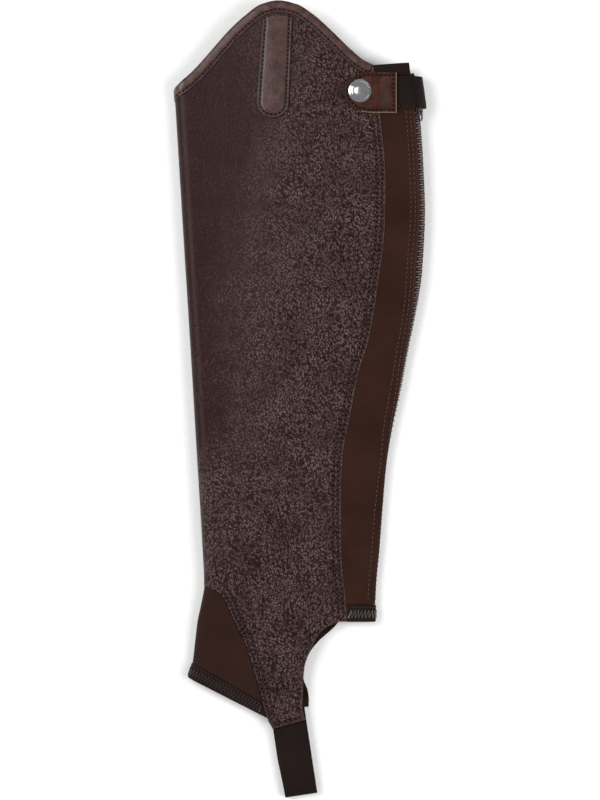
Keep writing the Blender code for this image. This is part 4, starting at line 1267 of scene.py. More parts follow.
def baked(name: str, points: Array, edges: list[tuple[int, int]], fields: dict[str, Array],
          tree: Tree, inputs: dict[str, Any]) -> Mesh:
    """Run a Geometry Nodes tree on points or lines and return the plain mesh that it makes.

    Args:
        name: the mesh's name.
        points: the places, in metres.
        edges: pairs of points that are joined.
        fields: a vector for each point, by attribute name.
        tree: the node tree.
        inputs: the tree's inputs, by name.

    Returns:
        The mesh, with its materials.
    """
    guide = bpy.data.meshes.new(name)
    guide.from_pydata(points.tolist(), edges, [])
    for key, values in fields.items():
        guide.attributes.new(key, "FLOAT_VECTOR",
            "POINT").data.foreach_set("vector", values.astype(np.float32).ravel())
    thing = placed(name, guide)
    modifier = thing.modifiers.new(name, "NODES")
    modifier.node_group = tree
    for key, value in inputs.items():
        modifier[socket_of(modifier, key)] = value
    mesh = bpy.data.meshes.new_from_object(thing.evaluated_get(bpy.context.evaluated_depsgraph_get()))
    thing.modifiers.clear()
    bpy.data.objects.remove(thing)
    mesh.name = name
    while None in mesh.materials[:]:
        mesh.materials.pop(index=mesh.materials[:].index(None))
    # What lies under the leg is pressed flat by it, and doesn't reach below the surface that it rests on.
    place = np.empty(3 * len(mesh.vertices), np.float32)
    mesh.vertices.foreach_get("co", place)
    place[2::3] = np.maximum(place[2::3], 0.0)
    mesh.vertices.foreach_set("co", place)
    mesh.update()
    mesh.shade_smooth()
    return mesh


def new_tree(name: str, inputs: dict[str, str]) -> tuple[Tree, dict[str, Source], bpy.types.Node]:
    """A Geometry Nodes tree with named inputs.

    Args:
        name: the tree's name.
        inputs: socket types by name, after the geometry.

    Returns:
        The tree, its input sockets by name, and its output node.
    """
    tree = bpy.data.node_groups.new(name, "GeometryNodeTree")
    tree.interface.new_socket("Geometry", in_out="INPUT", socket_type="NodeSocketGeometry")
    for key, kind in inputs.items():
        tree.interface.new_socket(key, in_out="INPUT", socket_type=kind)
    tree.interface.new_socket("Geometry", in_out="OUTPUT", socket_type="NodeSocketGeometry")
    given = tree.nodes.new("NodeGroupInput")
    return tree, {socket.name: socket for socket in given.outputs
        if socket.name}, tree.nodes.new("NodeGroupOutput")


def stitch_tree() -> Tree:
    """Stitches on points: an arched thread at each, and at its end a black disc of painted shade for the
    needle hole.

    Returns:
        The tree.
    """
    tree, given, result = new_tree("stitch_row", {"Length": "NodeSocketFloat",
        "Width": "NodeSocketFloat", "Hole": "NodeSocketFloat", "Pitch": "NodeSocketFloat",
        "Thread": "NodeSocketMaterial", "Dark": "NodeSocketMaterial"})
    add = partial(add_node, tree)
    half = add("ShaderNodeMath", {0: given["Length"], 1: 0.5}, operation="MULTIPLY")
    back = add("ShaderNodeMath", {0: half, 1: -1.0}, operation="MULTIPLY")
    low = add("ShaderNodeMath", {0: given["Width"], 1: -0.30}, operation="MULTIPLY")
    high = add("ShaderNodeMath", {0: given["Width"], 1: 0.75}, operation="MULTIPLY")
    start = add("ShaderNodeCombineXYZ", {"X": back, "Z": low})
    middle = add("ShaderNodeCombineXYZ", {"Z": high})
    end = add("ShaderNodeCombineXYZ", {"X": half, "Z": low})
    arch = add("GeometryNodeCurveQuadraticBezier",
        {"Resolution": 4, "Start": start, "Middle": middle, "End": end})
    radius = add("ShaderNodeMath", {0: given["Width"], 1: 0.5}, operation="MULTIPLY")
    profile = add("GeometryNodeCurvePrimitiveCircle", {"Resolution": 6, "Radius": radius})
    thread = add("GeometryNodeCurveToMesh", {"Curve": arch, "Profile Curve": profile, "Fill Caps": True})
    tangent, normal = (add("GeometryNodeInputNamedAttribute", {"Name": name}, data_type="FLOAT_VECTOR")
        for name in ("tangent", "normal"))
    lean = add("FunctionNodeRandomValue", {2: -0.10, 3: 0.10, "Seed": 7}, data_type="FLOAT").outputs[1]
    cross = add("ShaderNodeVectorMath", {0: normal, 1: tangent}, operation="CROSS_PRODUCT")
    sway = add("ShaderNodeVectorMath", {0: cross, "Scale": lean}, operation="SCALE")
    heading = add("ShaderNodeVectorMath", {0: tangent, 1: sway}, operation="ADD")
    turn = add("FunctionNodeAxesToRotation", {0: normal, 1: heading}, primary_axis="Z", secondary_axis="X")
    sewn = add("GeometryNodeInstanceOnPoints", {"Points": given["Geometry"],
        "Instance": thread, "Rotation": turn})
    sewn = add("GeometryNodeRealizeInstances", {"Geometry": sewn})
    sewn = add("GeometryNodeSetMaterial", {"Geometry": sewn, "Material": given["Thread"]})
    reach = add("ShaderNodeMath", {0: given["Pitch"], 1: 0.5}, operation="MULTIPLY")
    along = add("ShaderNodeVectorMath", {0: tangent, "Scale": reach}, operation="SCALE")
    aside = add("GeometryNodeSetPosition", {"Geometry": given["Geometry"], "Offset": along})
    # A flat black disc at each needle hole: painted shade in the hole.
    disc = add("GeometryNodeMeshCone", {"Vertices": 9, "Radius Top": given["Hole"],
        "Radius Bottom": 0.0001, "Depth": 0.0003}, fill_type="NGON")
    hole_shade = add("GeometryNodeInstanceOnPoints", {"Points": aside, "Instance": disc, "Rotation": turn})
    hole_shade = add("GeometryNodeRealizeInstances", {"Geometry": hole_shade})
    hole_shade = add("GeometryNodeSetMaterial", {"Geometry": hole_shade, "Material": given["Dark"]})
    joined = add("GeometryNodeJoinGeometry")
    for part in (sewn, hole_shade):
        feed(tree, joined.inputs[0], part)
    feed(tree, result.inputs["Geometry"], joined)
    return tree


def zigzag_tree() -> Tree:
    """A thread that runs from side to side of a guide line, one turn at each of its points.

    Returns:
        The tree.
    """
    tree, given, result = new_tree("zigzag_thread", {"Reach": "NodeSocketFloat",
        "Radius": "NodeSocketFloat", "Thread": "NodeSocketMaterial"})
    add = partial(add_node, tree)
    index = tree.nodes.new("GeometryNodeInputIndex")
    odd = add("ShaderNodeMath", {0: index, 1: 2.0}, operation="MODULO")
    side = add("ShaderNodeMath", {0: odd, 1: 2.0, 2: -1.0}, operation="MULTIPLY_ADD")
    uneven = add("FunctionNodeRandomValue", {2: 0.88, 3: 1.08, "Seed": 11}, data_type="FLOAT").outputs[1]
    side = add("ShaderNodeMath", {0: side, 1: uneven}, operation="MULTIPLY")
    reach = add("ShaderNodeMath", {0: side, 1: given["Reach"]}, operation="MULTIPLY")
    across = add("GeometryNodeInputNamedAttribute", {"Name": "across"}, data_type="FLOAT_VECTOR")
    offset = add("ShaderNodeVectorMath", {0: across, "Scale": reach}, operation="SCALE")
    turned = add("GeometryNodeSetPosition", {"Geometry": given["Geometry"], "Offset": offset})
    line = add("GeometryNodeMeshToCurve", {"Mesh": turned})
    profile = add("GeometryNodeCurvePrimitiveCircle", {"Resolution": 5, "Radius": given["Radius"]})
    thread = add("GeometryNodeCurveToMesh", {"Curve": line, "Profile Curve": profile, "Fill Caps": True})
    thread = add("GeometryNodeRealizeInstances", {"Geometry": thread})
    thread = add("GeometryNodeSetMaterial", {"Geometry": thread, "Material": given["Thread"]})
    feed(tree, result.inputs["Geometry"], thread)
    return tree


def coil_tree() -> Tree:
    """Coil teeth on points: each a loop of nylon from the tape's side to its head past the middle.

    Returns:
        The tree.
    """
    tree, given, result = new_tree("zip_coil", {"Side": "NodeSocketFloat", "Head": "NodeSocketFloat",
        "Slant": "NodeSocketFloat", "Radius": "NodeSocketFloat", "Nylon": "NodeSocketMaterial"})
    add = partial(add_node, tree)
    back = add("ShaderNodeMath", {0: given["Side"], 1: -1.0}, operation="MULTIPLY")
    slant = add("ShaderNodeMath", {0: given["Slant"], 1: -1.0}, operation="MULTIPLY")
    bulge = add("ShaderNodeMath", {0: given["Radius"], 1: 1.6}, operation="MULTIPLY")
    sunk = add("ShaderNodeMath", {0: given["Radius"], 1: -1.5}, operation="MULTIPLY")
    foot = add("ShaderNodeCombineXYZ", {"X": back, "Y": slant, "Z": sunk})
    rise = add("ShaderNodeCombineXYZ", {"X": back, "Y": slant, "Z": bulge})
    crest = add("ShaderNodeCombineXYZ", {"X": given["Head"], "Z": bulge})
    head = add("ShaderNodeCombineXYZ", {"X": given["Head"], "Y": given["Slant"], "Z": sunk})
    loop = add("GeometryNodeCurvePrimitiveBezierSegment", {"Resolution": 9, "Start": foot,
        "Start Handle": rise, "End Handle": crest, "End": head})
    profile = add("GeometryNodeCurvePrimitiveCircle", {"Resolution": 7, "Radius": given["Radius"]})
    tooth = add("GeometryNodeCurveToMesh", {"Curve": loop, "Profile Curve": profile, "Fill Caps": True})
    tangent, normal = (add("GeometryNodeInputNamedAttribute", {"Name": name}, data_type="FLOAT_VECTOR")
        for name in ("tangent", "normal"))
    turn = add("FunctionNodeAxesToRotation", {0: normal, 1: tangent}, primary_axis="Z", secondary_axis="X")
    teeth = add("GeometryNodeInstanceOnPoints", {"Points": given["Geometry"],
        "Instance": tooth, "Rotation": turn})
    teeth = add("GeometryNodeRealizeInstances", {"Geometry": teeth})
    teeth = add("GeometryNodeSetMaterial", {"Geometry": teeth, "Material": given["Nylon"]})
    feed(tree, result.inputs["Geometry"], teeth)
    return tree


def spaced(line: Line, pitch: float) -> tuple[Array, Array]:
    """Points evenly along a line, half a pitch in from its ends, and its direction at each.

    Args:
        line: the line.
        pitch: the spacing, which gives way so that a whole number fits.

    Returns:
        The points, and a direction for each.
    """
    points = np.array(line, float)
    steps = np.linalg.norm(np.diff(points, axis=0), axis=1)
    reach = np.concatenate(([0.0], np.cumsum(steps)))
    count = max(1, round(reach[-1] / pitch))
    at = (np.arange(count) + 0.5) * reach[-1] / count
    place = np.column_stack([np.interp(at, reach, points[:, k]) for k in (0, 1)])
    ahead = np.column_stack([np.interp(at + 0.2, reach, points[:, k]) for k in (0, 1)])
    behind = np.column_stack([np.interp(at - 0.2, reach, points[:, k]) for k in (0, 1)])
    return place, ahead - behind


class Sewing:
    """All the sewing: rows are gathered from the panels and made at the end, one piece for each thread."""

    zigzag_pitch = 2.6
    zigzag_reach = 2.9
    zigzag_radius = 0.47
    zigzag_lift = 0.12

    def __init__(self, palette: Palette) -> None:
        """Start with nothing gathered.

        Args:
            palette: the finishes.
        """
        self.palette = palette
        self.gathered: dict[Style, list[tuple[Array, Array, Array]]] = {style: [] for style in Style}

    def sew(self, panel: Panel) -> None:
        """Gather the stitches of a panel's rows, sunk in the troughs that they pull.

        Args:
            panel: the panel.
        """
        for row in panel.rows:
            place, along = spaced(row.line, STITCHES[row.style].pitch)
            lift = panel.surface(place)
            on = lay(place[:, 0], place[:, 1], lift)
            ahead = unit(lay(place[:, 0] + along[:, 0], place[:, 1] + along[:, 1], lift) - on)
            self.gathered[row.style].append((on, ahead, normals(place[:, 0], place[:, 1])))

    def zigzag(self, name: str, thread: Material, panel: Panel, line: Line) -> None:
        """Sew a zigzag along a line on a panel.

        Args:
            name: the piece's name.
            thread: its material.
            panel: what it is sewn on.
            line: its middle line, in pattern points.
        """
        place, along = spaced(line, self.zigzag_pitch / 2)
        lift = panel.surface(place) + self.zigzag_lift
        side = unit(np.column_stack((-along[:, 1], along[:, 0])))
        on = lay(place[:, 0], place[:, 1], lift)
        across = unit(lay(place[:, 0] + side[:, 0], place[:, 1] + side[:, 1], lift) - on)
        edges = [(i, i + 1) for i in range(len(on) - 1)]
        mesh = baked(name, on, edges, {"across": across}, zigzag_tree(),
            {"Reach": self.zigzag_reach * MM, "Radius": self.zigzag_radius * MM, "Thread": thread})
        mesh_object(name, mesh, [])

    def build(self) -> None:
        """Make the stitches."""
        tree = stitch_tree()
        threads = {Style.DARK: self.palette.dark_thread, Style.SEAM: self.palette.seam_thread,
            Style.ZIP: self.palette.zip_thread, Style.HEM: self.palette.seam_thread}
        for style, rows in self.gathered.items():
            stitch = STITCHES[style]
            on, ahead, out = (np.vstack(parts) for parts in zip(*rows))
            mesh = baked(style.value, on, [], {"tangent": ahead, "normal": out}, tree,
                {"Length": stitch.length * MM, "Width": stitch.width * MM, "Hole": stitch.hole * MM,
                "Pitch": stitch.pitch * MM, "Thread": threads[style], "Dark": self.palette.needle_hole})
            mesh_object(style.value, mesh, [])


def between(line: Line, low: float, high: float) -> Line:
    """The stretch of a line whose heights lie between two values."""
    return [point for point in line if low <= point[1] <= high]


@dataclass
class LegPanels:
    """The two leather panels and the stretch panel behind the calf."""

    palette: Palette
    sewing: Sewing
    leather: Cloth = Cloth(0.0, 1.5, 0.6, 0.5)
    stretch: Cloth = Cloth(-0.4, 1.0, 0.5, 0.3)
    # Rows of stitches: how far they lie from their edge, and the heights between which they run.
    seam_rows: tuple[float, float] = (2.7, 6.3)
    seam_run: tuple[float, float] = (138.0, 543.0)
    gusset_rows: tuple[float, float] = (2.4, 5.8)
    gusset_run: tuple[float, float] = (57.0, 160.0)
    inner_gusset_run: tuple[float, float] = (72.0, 158.0)
    tongue_row: float = 3.0
    tongue_run: tuple[float, float] = (64.0, 84.0)
    tongue_shares: tuple[float, ...] = (0.12, 0.5, 0.88)  # of the tongue's raw end, where its row runs across
    front_row: float = 2.2
    front_run: tuple[float, float] = (166.0, 526.0)
    inner_zip_row: float = 4.7
    inner_zip_run: tuple[float, float] = (140.0, 538.0)
    zip_run: tuple[float, float] = (150.0, 545.0)
    # Along the stretch panel's fold by the zip a lighter, redder band is painted as its highlight.
    folded_run: tuple[float, float] = (140.0, 549.0)  # where the stretch panel's redder fold shows
    inner_tongue_end: float = 66.0
    tucked: float = 1.9  # how far the leather reaches into the binding that is folded round it
    corner_height: float = 556.0  # the leather's top corner, past the slanting end of the binding
    # Distances of the two rows from the zip, by height: the second one drifts forwards down the calf.
    zip_rows: tuple[SmoothCurve, ...] = (
        SmoothCurve([(150.0, 4.7), (545.0, 4.7)]), SmoothCurve([(150.0, 13.8), (208.0, 13.8), (268.0, 11.4),
        (330.0, 8.6), (369.0, 8.0), (545.0, 8.0)]),
    )
    # Spacing of the shells' points.
    fine_cell: float = 1.15
    inner_cell: float = 1.9
    stretch_cell: float = 1.5

    def outer_outline(self) -> Line:
        """Outline of the outer leather, round the front fold to the seam under it.

        Returns:
            The outline.
        """
        below = moved_right(top_line(), BINDING_WIDTH - self.tucked)
        below = [p for p in below if SEAM_GAP < p[0] < seam(p[1])[0] - 1.0]
        outline = edge_line(TONGUE_BACK, over)
        outline += [seam(h) for h in heights(LEATHER_SEAM[0].height, self.corner_height)]
        outline += below[::-1]
        fold_top = TOP_AT_FOLD - BINDING_WIDTH + self.tucked
        outline += [(0.0, fold_top), inner_seam(fold_top)]
        front = gusset_side()
        wrapped = [(-g, h) for g, h in front if -g > inner_seam(h)[0]]
        outline += [inner_seam(h) for h in heights(fold_top, wrapped[-1][1])[1:]]
        return outline + wrapped[:0:-1] + front

    def inner_outline(self) -> Line:
        """Outline of the inner leather, from the zip to the seam under the front fold.

        Returns:
            The outline.
        """
        zip_top = INNER_TOP_AT_ZIP - BINDING_WIDTH - SEAM_GAP
        fold_top = TOP_AT_FOLD - BINDING_WIDTH - SEAM_GAP
        outline = edge_line(INNER_TONGUE_BACK, under)
        outline += [zip_under(h, CHAIN_HALF_WIDTH + SEAM_GAP) for h in heights(BACK_HEM_BOTTOM, zip_top)]
        outline += [inner_seam(fold_top, SEAM_GAP)]
        tongue = [(-g, h) for g, h in gusset_side() if h > self.inner_tongue_end]
        tongue = [(g, h) for g, h in tongue if g < inner_seam(h, SEAM_GAP)[0]]
        outline += [inner_seam(h, SEAM_GAP) for h in heights(fold_top, tongue[0][1])[1:-1]]
        return outline + tongue

    def stretch_outline(self) -> Line:
        """Outline of the stretch panel, from the leather to the zip.

        Returns:
            The outline.
        """
        low, high = BACK_HEM_BOTTOM + BACK_HEM_WIDTH + SEAM_GAP, TOP_HEM_AT_SEAM - TOP_HEM_WIDTH - SEAM_GAP
        away = -CHAIN_HALF_WIDTH - SEAM_GAP
        return [zip_over(h, away) for h in heights(low, high)] + [seam(h, SEAM_GAP)
            for h in heights(high, low)]

    def outer_rows(self) -> tuple[Row, ...]:
        """Double rows along both seams, and one above the tongue's raw end and up its back.

        Returns:
            The rows.
        """
        seams = [[seam(h, -away) for h in heights(*self.seam_run)] for away in self.seam_rows]
        front = gusset_side()
        sides = [between(moved_right(front, -away), self.gusset_run[0] + away, self.gusset_run[1])
            for away in self.gusset_rows]
        (x0, h0), (x1, h1) = moved_right([TONGUE_BACK[0], TONGUE_FRONT[-1]], self.tongue_row)
        across = [over(x0 + (x1 - x0) * t, h0 + (h1 - h0) * t) for t in self.tongue_shares]
        back = moved_right(edge_line(TONGUE_BACK, over), -self.tongue_row)
        hidden = [inner_seam(h, -self.front_row) for h in heights(*self.front_run)]
        lines = seams + sides + [across, between(back, *self.tongue_run), hidden]
        return tuple(Row(Style.SEAM, line) for line in lines)

    def inner_rows(self) -> tuple[Row, ...]:
        """Rows beside the front seam, the zip and the tongue on the hidden side.

        Returns:
            The rows.
        """
        hidden = [inner_seam(h, SEAM_GAP + self.front_row) for h in heights(*self.front_run)]
        away = CHAIN_HALF_WIDTH + self.inner_zip_row
        beside_zip = [zip_under(h, away) for h in heights(*self.inner_zip_run)]
        front = [(-g, h) for g, h in moved_right(gusset_side(), -self.gusset_rows[0])]
        front = [p for p in between(front, *self.inner_gusset_run) if p[0] < inner_seam(p[1], 3.0)[0]]
        return tuple(Row(Style.SEAM, line) for line in (hidden, beside_zip, front))

    def build(self) -> None:
        """Make the three panels and gather their sewing."""
        finishes = self.palette
        shows_cut = gusset_side()[-1:] + edge_line(TONGUE_BACK, over)
        shows_cut += [seam(h) for h in heights(LEATHER_SEAM[0].height, self.folded_run[1])]
        self.outer = Panel("outer_leather_panel", ("outer_leather",), "leather", self.outer_outline(),
            self.leather, finishes.hide, finishes.flesh, self.fine_cell, self.outer_rows(), shows_cut)
        self.inner = Panel("inner_leather_panel", ("inner_leather",), "leather", self.inner_outline(),
            self.leather, finishes.hide, finishes.flesh, self.inner_cell, self.inner_rows())
        away = -CHAIN_HALF_WIDTH
        rows = tuple(Row(Style.ZIP, [zip_over(h, away - float(reach(h))) for h in heights(*self.zip_run)])
            for reach in self.zip_rows)
        # The line along which the stretch panel's painted fold highlight runs.
        folded = [zip_over(h, away - SEAM_GAP) for h in heights(*self.folded_run)]
        self.stretch_panel = Panel("stretch_calf_panel", ("stretch_panel",),
            "stretch_fabric", self.stretch_outline(), self.stretch, finishes.stretch,
            finishes.stretch, self.stretch_cell, rows, folded)
        for panel in (self.outer, self.inner, self.stretch_panel):
            panel.build()
            self.sewing.sew(panel)


@dataclass
class TopEdge:
    """The binding round the top, the patch below its peak, and the hem of the stretch panel."""

    palette: Palette
    sewing: Sewing
    legs: LegPanels
    binding: Cloth = Cloth(0.8, 3.1, 1.9, 1.4, True)
    patch: Cloth = Cloth(1.6, 1.3, 0.35, 0.3)
    hem: Cloth = Cloth(0.3, 1.9, 0.7, 0.6)
    binding_row: float = 2.6  # up from the binding's lower edge
    hem_under: float = 1.3  # how far the hem's top corner reaches under the binding's end
    patch_row: float = 2.3
    patch_top: Point = Point(79.3, 596.0)
    patch_end: Point = Point(75.9, 529.0)
    patch_top_half: float = 11.2
    patch_end_half: float = 12.1
    arc_steps: int = 32

    def binding_outline(self) -> Line:
        """Outline of the outer side's binding.

        Returns:
            The outline.
        """
        edge = top_line()
        edge[0] = (SEAM_GAP / 2, edge[0][1])
        lower = [p for p in moved_right(edge, BINDING_WIDTH) if p[0] > SEAM_GAP]
        lower = [p for p in lower if p[0] < seam(p[1])[0] - 0.5]
        return edge[::-1] + [(SEAM_GAP / 2, edge[0][1] - BINDING_WIDTH)] + lower

    def inner_binding_outline(self) -> Line:
        """Outline of the straight binding on the inner side.

        Returns:
            The outline.
        """
        ends = [zip_under(INNER_TOP_AT_ZIP - drop, CHAIN_HALF_WIDTH + SEAM_GAP)
            for drop in (0.0, BINDING_WIDTH)]
        return [(-SEAM_GAP / 2, TOP_AT_FOLD - BINDING_WIDTH), (-SEAM_GAP / 2, TOP_AT_FOLD)] + ends

    def patch_outline(self, inset: float = 0.0) -> Line:
        """Outline of the patch, or a line inside it: up its right side, and round from its left to its end.

        Args:
            inset: how far inside the line runs.

        Returns:
            The outline or line.
        """
        outline = []
        for i in range(self.arc_steps + 1):
            angle = math.pi + math.pi * i / self.arc_steps
            reach = self.patch_end_half - inset
            outline.append(over(self.patch_end.x + reach * math.cos(angle),
                self.patch_end.height + reach * math.sin(angle)))
        side = self.patch_top_half - inset
        right = over(self.patch_top.x + side, self.patch_top.height)[0]
        left = over(self.patch_top.x - side, self.patch_top.height)[0]
        crest = SmoothCurve(moved_right(top_line(), BINDING_WIDTH + 4 * SEAM_GAP))
        return outline + [(right + (left - right) * t, float(crest(right + (left - right) * t)))
            for t in np.linspace(0.0, 1.0, 9)]

    def build(self) -> None:
        """Make the four pieces and gather their sewing."""
        finishes = self.palette
        lower = [p for p in moved_right(top_line(), BINDING_WIDTH - self.binding_row) if 2.0 < p[0]]
        lower = [p for p in lower if p[0] < seam(p[1])[0] - 3.0]
        outer = Panel("top_binding_outer_roll", ("top_binding_outer",), "binding",
            self.binding_outline(), self.binding, finishes.binding, finishes.binding, 0.9,
            (Row(Style.DARK, lower),), crown=0.35, crown_reach=3.2)
        start, end = (self.inner_binding_outline()[i] for i in (0, 3))
        flush = Cloth(0.0, self.binding.thickness - self.binding.lift, 1.5, 1.0, True)
        rise = self.binding.lift

        def fold_over(girth: Array, height: Array) -> Array:
            """Past the fold the binding lies flush."""
            return np.where(girth < -Section(height).quarter, 0.0, rise)

        inner_row = [(start[0] - 2.0 + (end[0] - start[0] + 4.0) * t,
            start[1] + self.binding_row + (end[1] - start[1]) * t) for t in np.linspace(0.0, 1.0, 40)]
        inner = Panel("top_binding_inner_roll", ("top_binding_inner",), "binding",
            self.inner_binding_outline(), flush, finishes.binding, finishes.binding, 1.5,
            (Row(Style.DARK, inner_row),), rise=fold_over)
        row = self.patch_outline(self.patch_row)
        patch = Panel("peak_patch", ("top_patch",), "leather", self.patch_outline(),
            self.patch, finishes.patch, finishes.flesh, 0.9,
            (Row(Style.DARK, row[-1:] + row[:-8]),), crown=0.45, crown_reach=5.0)
        left, right = TOP_HEM_AT_SEAM, TOP_HEM_AT_ZIP
        away = -CHAIN_HALF_WIDTH - SEAM_GAP
        low = left - TOP_HEM_WIDTH
        hem_outline = [seam(low, SEAM_GAP), zip_over(low, away),
            zip_over(right, away), seam(left, -self.hem_under)]
        hem = Panel("calf_top_hem", ("top_hem",), "hem", hem_outline,
            self.hem, finishes.hem, finishes.hem, 0.9)
        for panel in (outer, inner, patch, hem):
            panel.build()
            self.sewing.sew(panel)
        patch.declare(rests_on=("outer_leather_panel",))
        self.legs.outer.declare(outer.thing)
        self.legs.inner.declare(inner.thing)
        self.legs.stretch_panel.declare(hem.thing)


@dataclass
class AnkleTrim:
    """The stretch gusset over the instep with its hem, and the hem at the back of the ankle."""

    palette: Palette
    sewing: Sewing
    gusset: Cloth = Cloth(-0.4, 1.0, 0.5, 0.3)
    hem: Cloth = Cloth(0.3, 1.9, 0.8, 0.7)
    hem_top: tuple[Point, Point] = (Point(14.3, 103.0), Point(66.7, 73.3))
    hem_bottom: tuple[Point, Point] = (Point(11.2, 91.8), Point(71.3, 61.2))
    hem_row: float = 1.6  # the stitches and the zigzag's middle, in from the instep hem's edges
    zigzag_drop: float = 0.4
    back_row: float = 1.8
    back_zigzag: float = 5.9  # up from the back hem's lower edge
    instep_hem_width: float = 11.5

    def hem_line(self, ends: tuple[Point, Point], drop: float = 0.0) -> Line:
        """A straight seam from the front fold across the gusset to the tongue.

        Args:
            ends: where it leaves the fold and where it meets the tongue.
            drop: how far below that it runs.

        Returns:
            The seam, from the fold outwards.
        """
        fold, tongue = ends
        side = SmoothCurve([(h, g) for g, h in gusset_side(SEAM_GAP)[::-1]])

        def at(t: float) -> tuple[float, float]:
            """Pattern point at a share of the seam's length."""
            x = fold.x + (tongue.x - fold.x) * t
            return over(x, fold.height + (tongue.height - fold.height) * t - drop)

        low, high = 0.5, 1.3
        for _ in range(30):
            middle = (low + high) / 2
            girth, height = at(middle)
            low, high = (middle, high) if girth < float(side(height)) else (low, middle)
        return [(0.0, fold.height - drop)] + [at(low * (i / 40) ** 1.6) for i in range(1, 41)]

    def build(self) -> None:
        """Make the three pieces and gather their sewing."""
        finishes = self.palette
        bottom = self.hem_line(self.hem_top, -SEAM_GAP)
        side = [(g, h) for g, h in gusset_side(SEAM_GAP) if h > bottom[-1][1] + 1.0]
        gusset = Panel("instep_gusset", ("front_gusset",), "gusset_fabric",
            mirrored(side) + mirrored(bottom)[::-1], self.gusset, finishes.gusset, finishes.gusset, 1.3)
        outline = mirrored(self.hem_line(self.hem_top)) + mirrored(self.hem_line(self.hem_bottom))[::-1]
        row = self.hem_line(self.hem_top, self.hem_row)
        edge = self.hem_line(self.hem_bottom, -self.hem_row)
        hem = Panel("instep_hem", ("gusset_hem",), "hem", outline, self.hem, finishes.hem, finishes.hem, 1.0,
            (Row(Style.HEM, mirrored(row[:-1])),), strip=self.instep_hem_width)
        middle = [((a[0] + b[0]) / 2, (a[1] + b[1]) / 2 - self.zigzag_drop) for a, b in zip(row, edge)]
        self.sewing.zigzag("instep_zigzag_thread", finishes.instep_thread, hem, mirrored(middle[:-1]))

        low, high = BACK_HEM_BOTTOM, BACK_HEM_BOTTOM + BACK_HEM_WIDTH
        away = -CHAIN_HALF_WIDTH - SEAM_GAP
        back_outline = [(seam(LEATHER_SEAM[0].height, SEAM_GAP)[0], low), zip_over(low, away),
            zip_over(high, away), seam(high, SEAM_GAP)]
        start, end = back_outline[0][0], back_outline[1][0]
        back_row = [(start + 1.0, high - self.back_row), (end - 1.0, high - self.back_row)]
        back = Panel("ankle_back_hem", ("back_hem",), "hem", back_outline, self.hem, finishes.hem,
            finishes.hem, 1.0, (Row(Style.HEM, back_row),))
        across = [(start - 0.3, low + self.back_zigzag), (end - 0.4, low + self.back_zigzag)]
        self.sewing.zigzag("olive_zigzag_thread", finishes.hem_thread, back, across)
        for panel in (gusset, hem, back):
            panel.build()
            self.sewing.sew(panel)
            panel.declare()


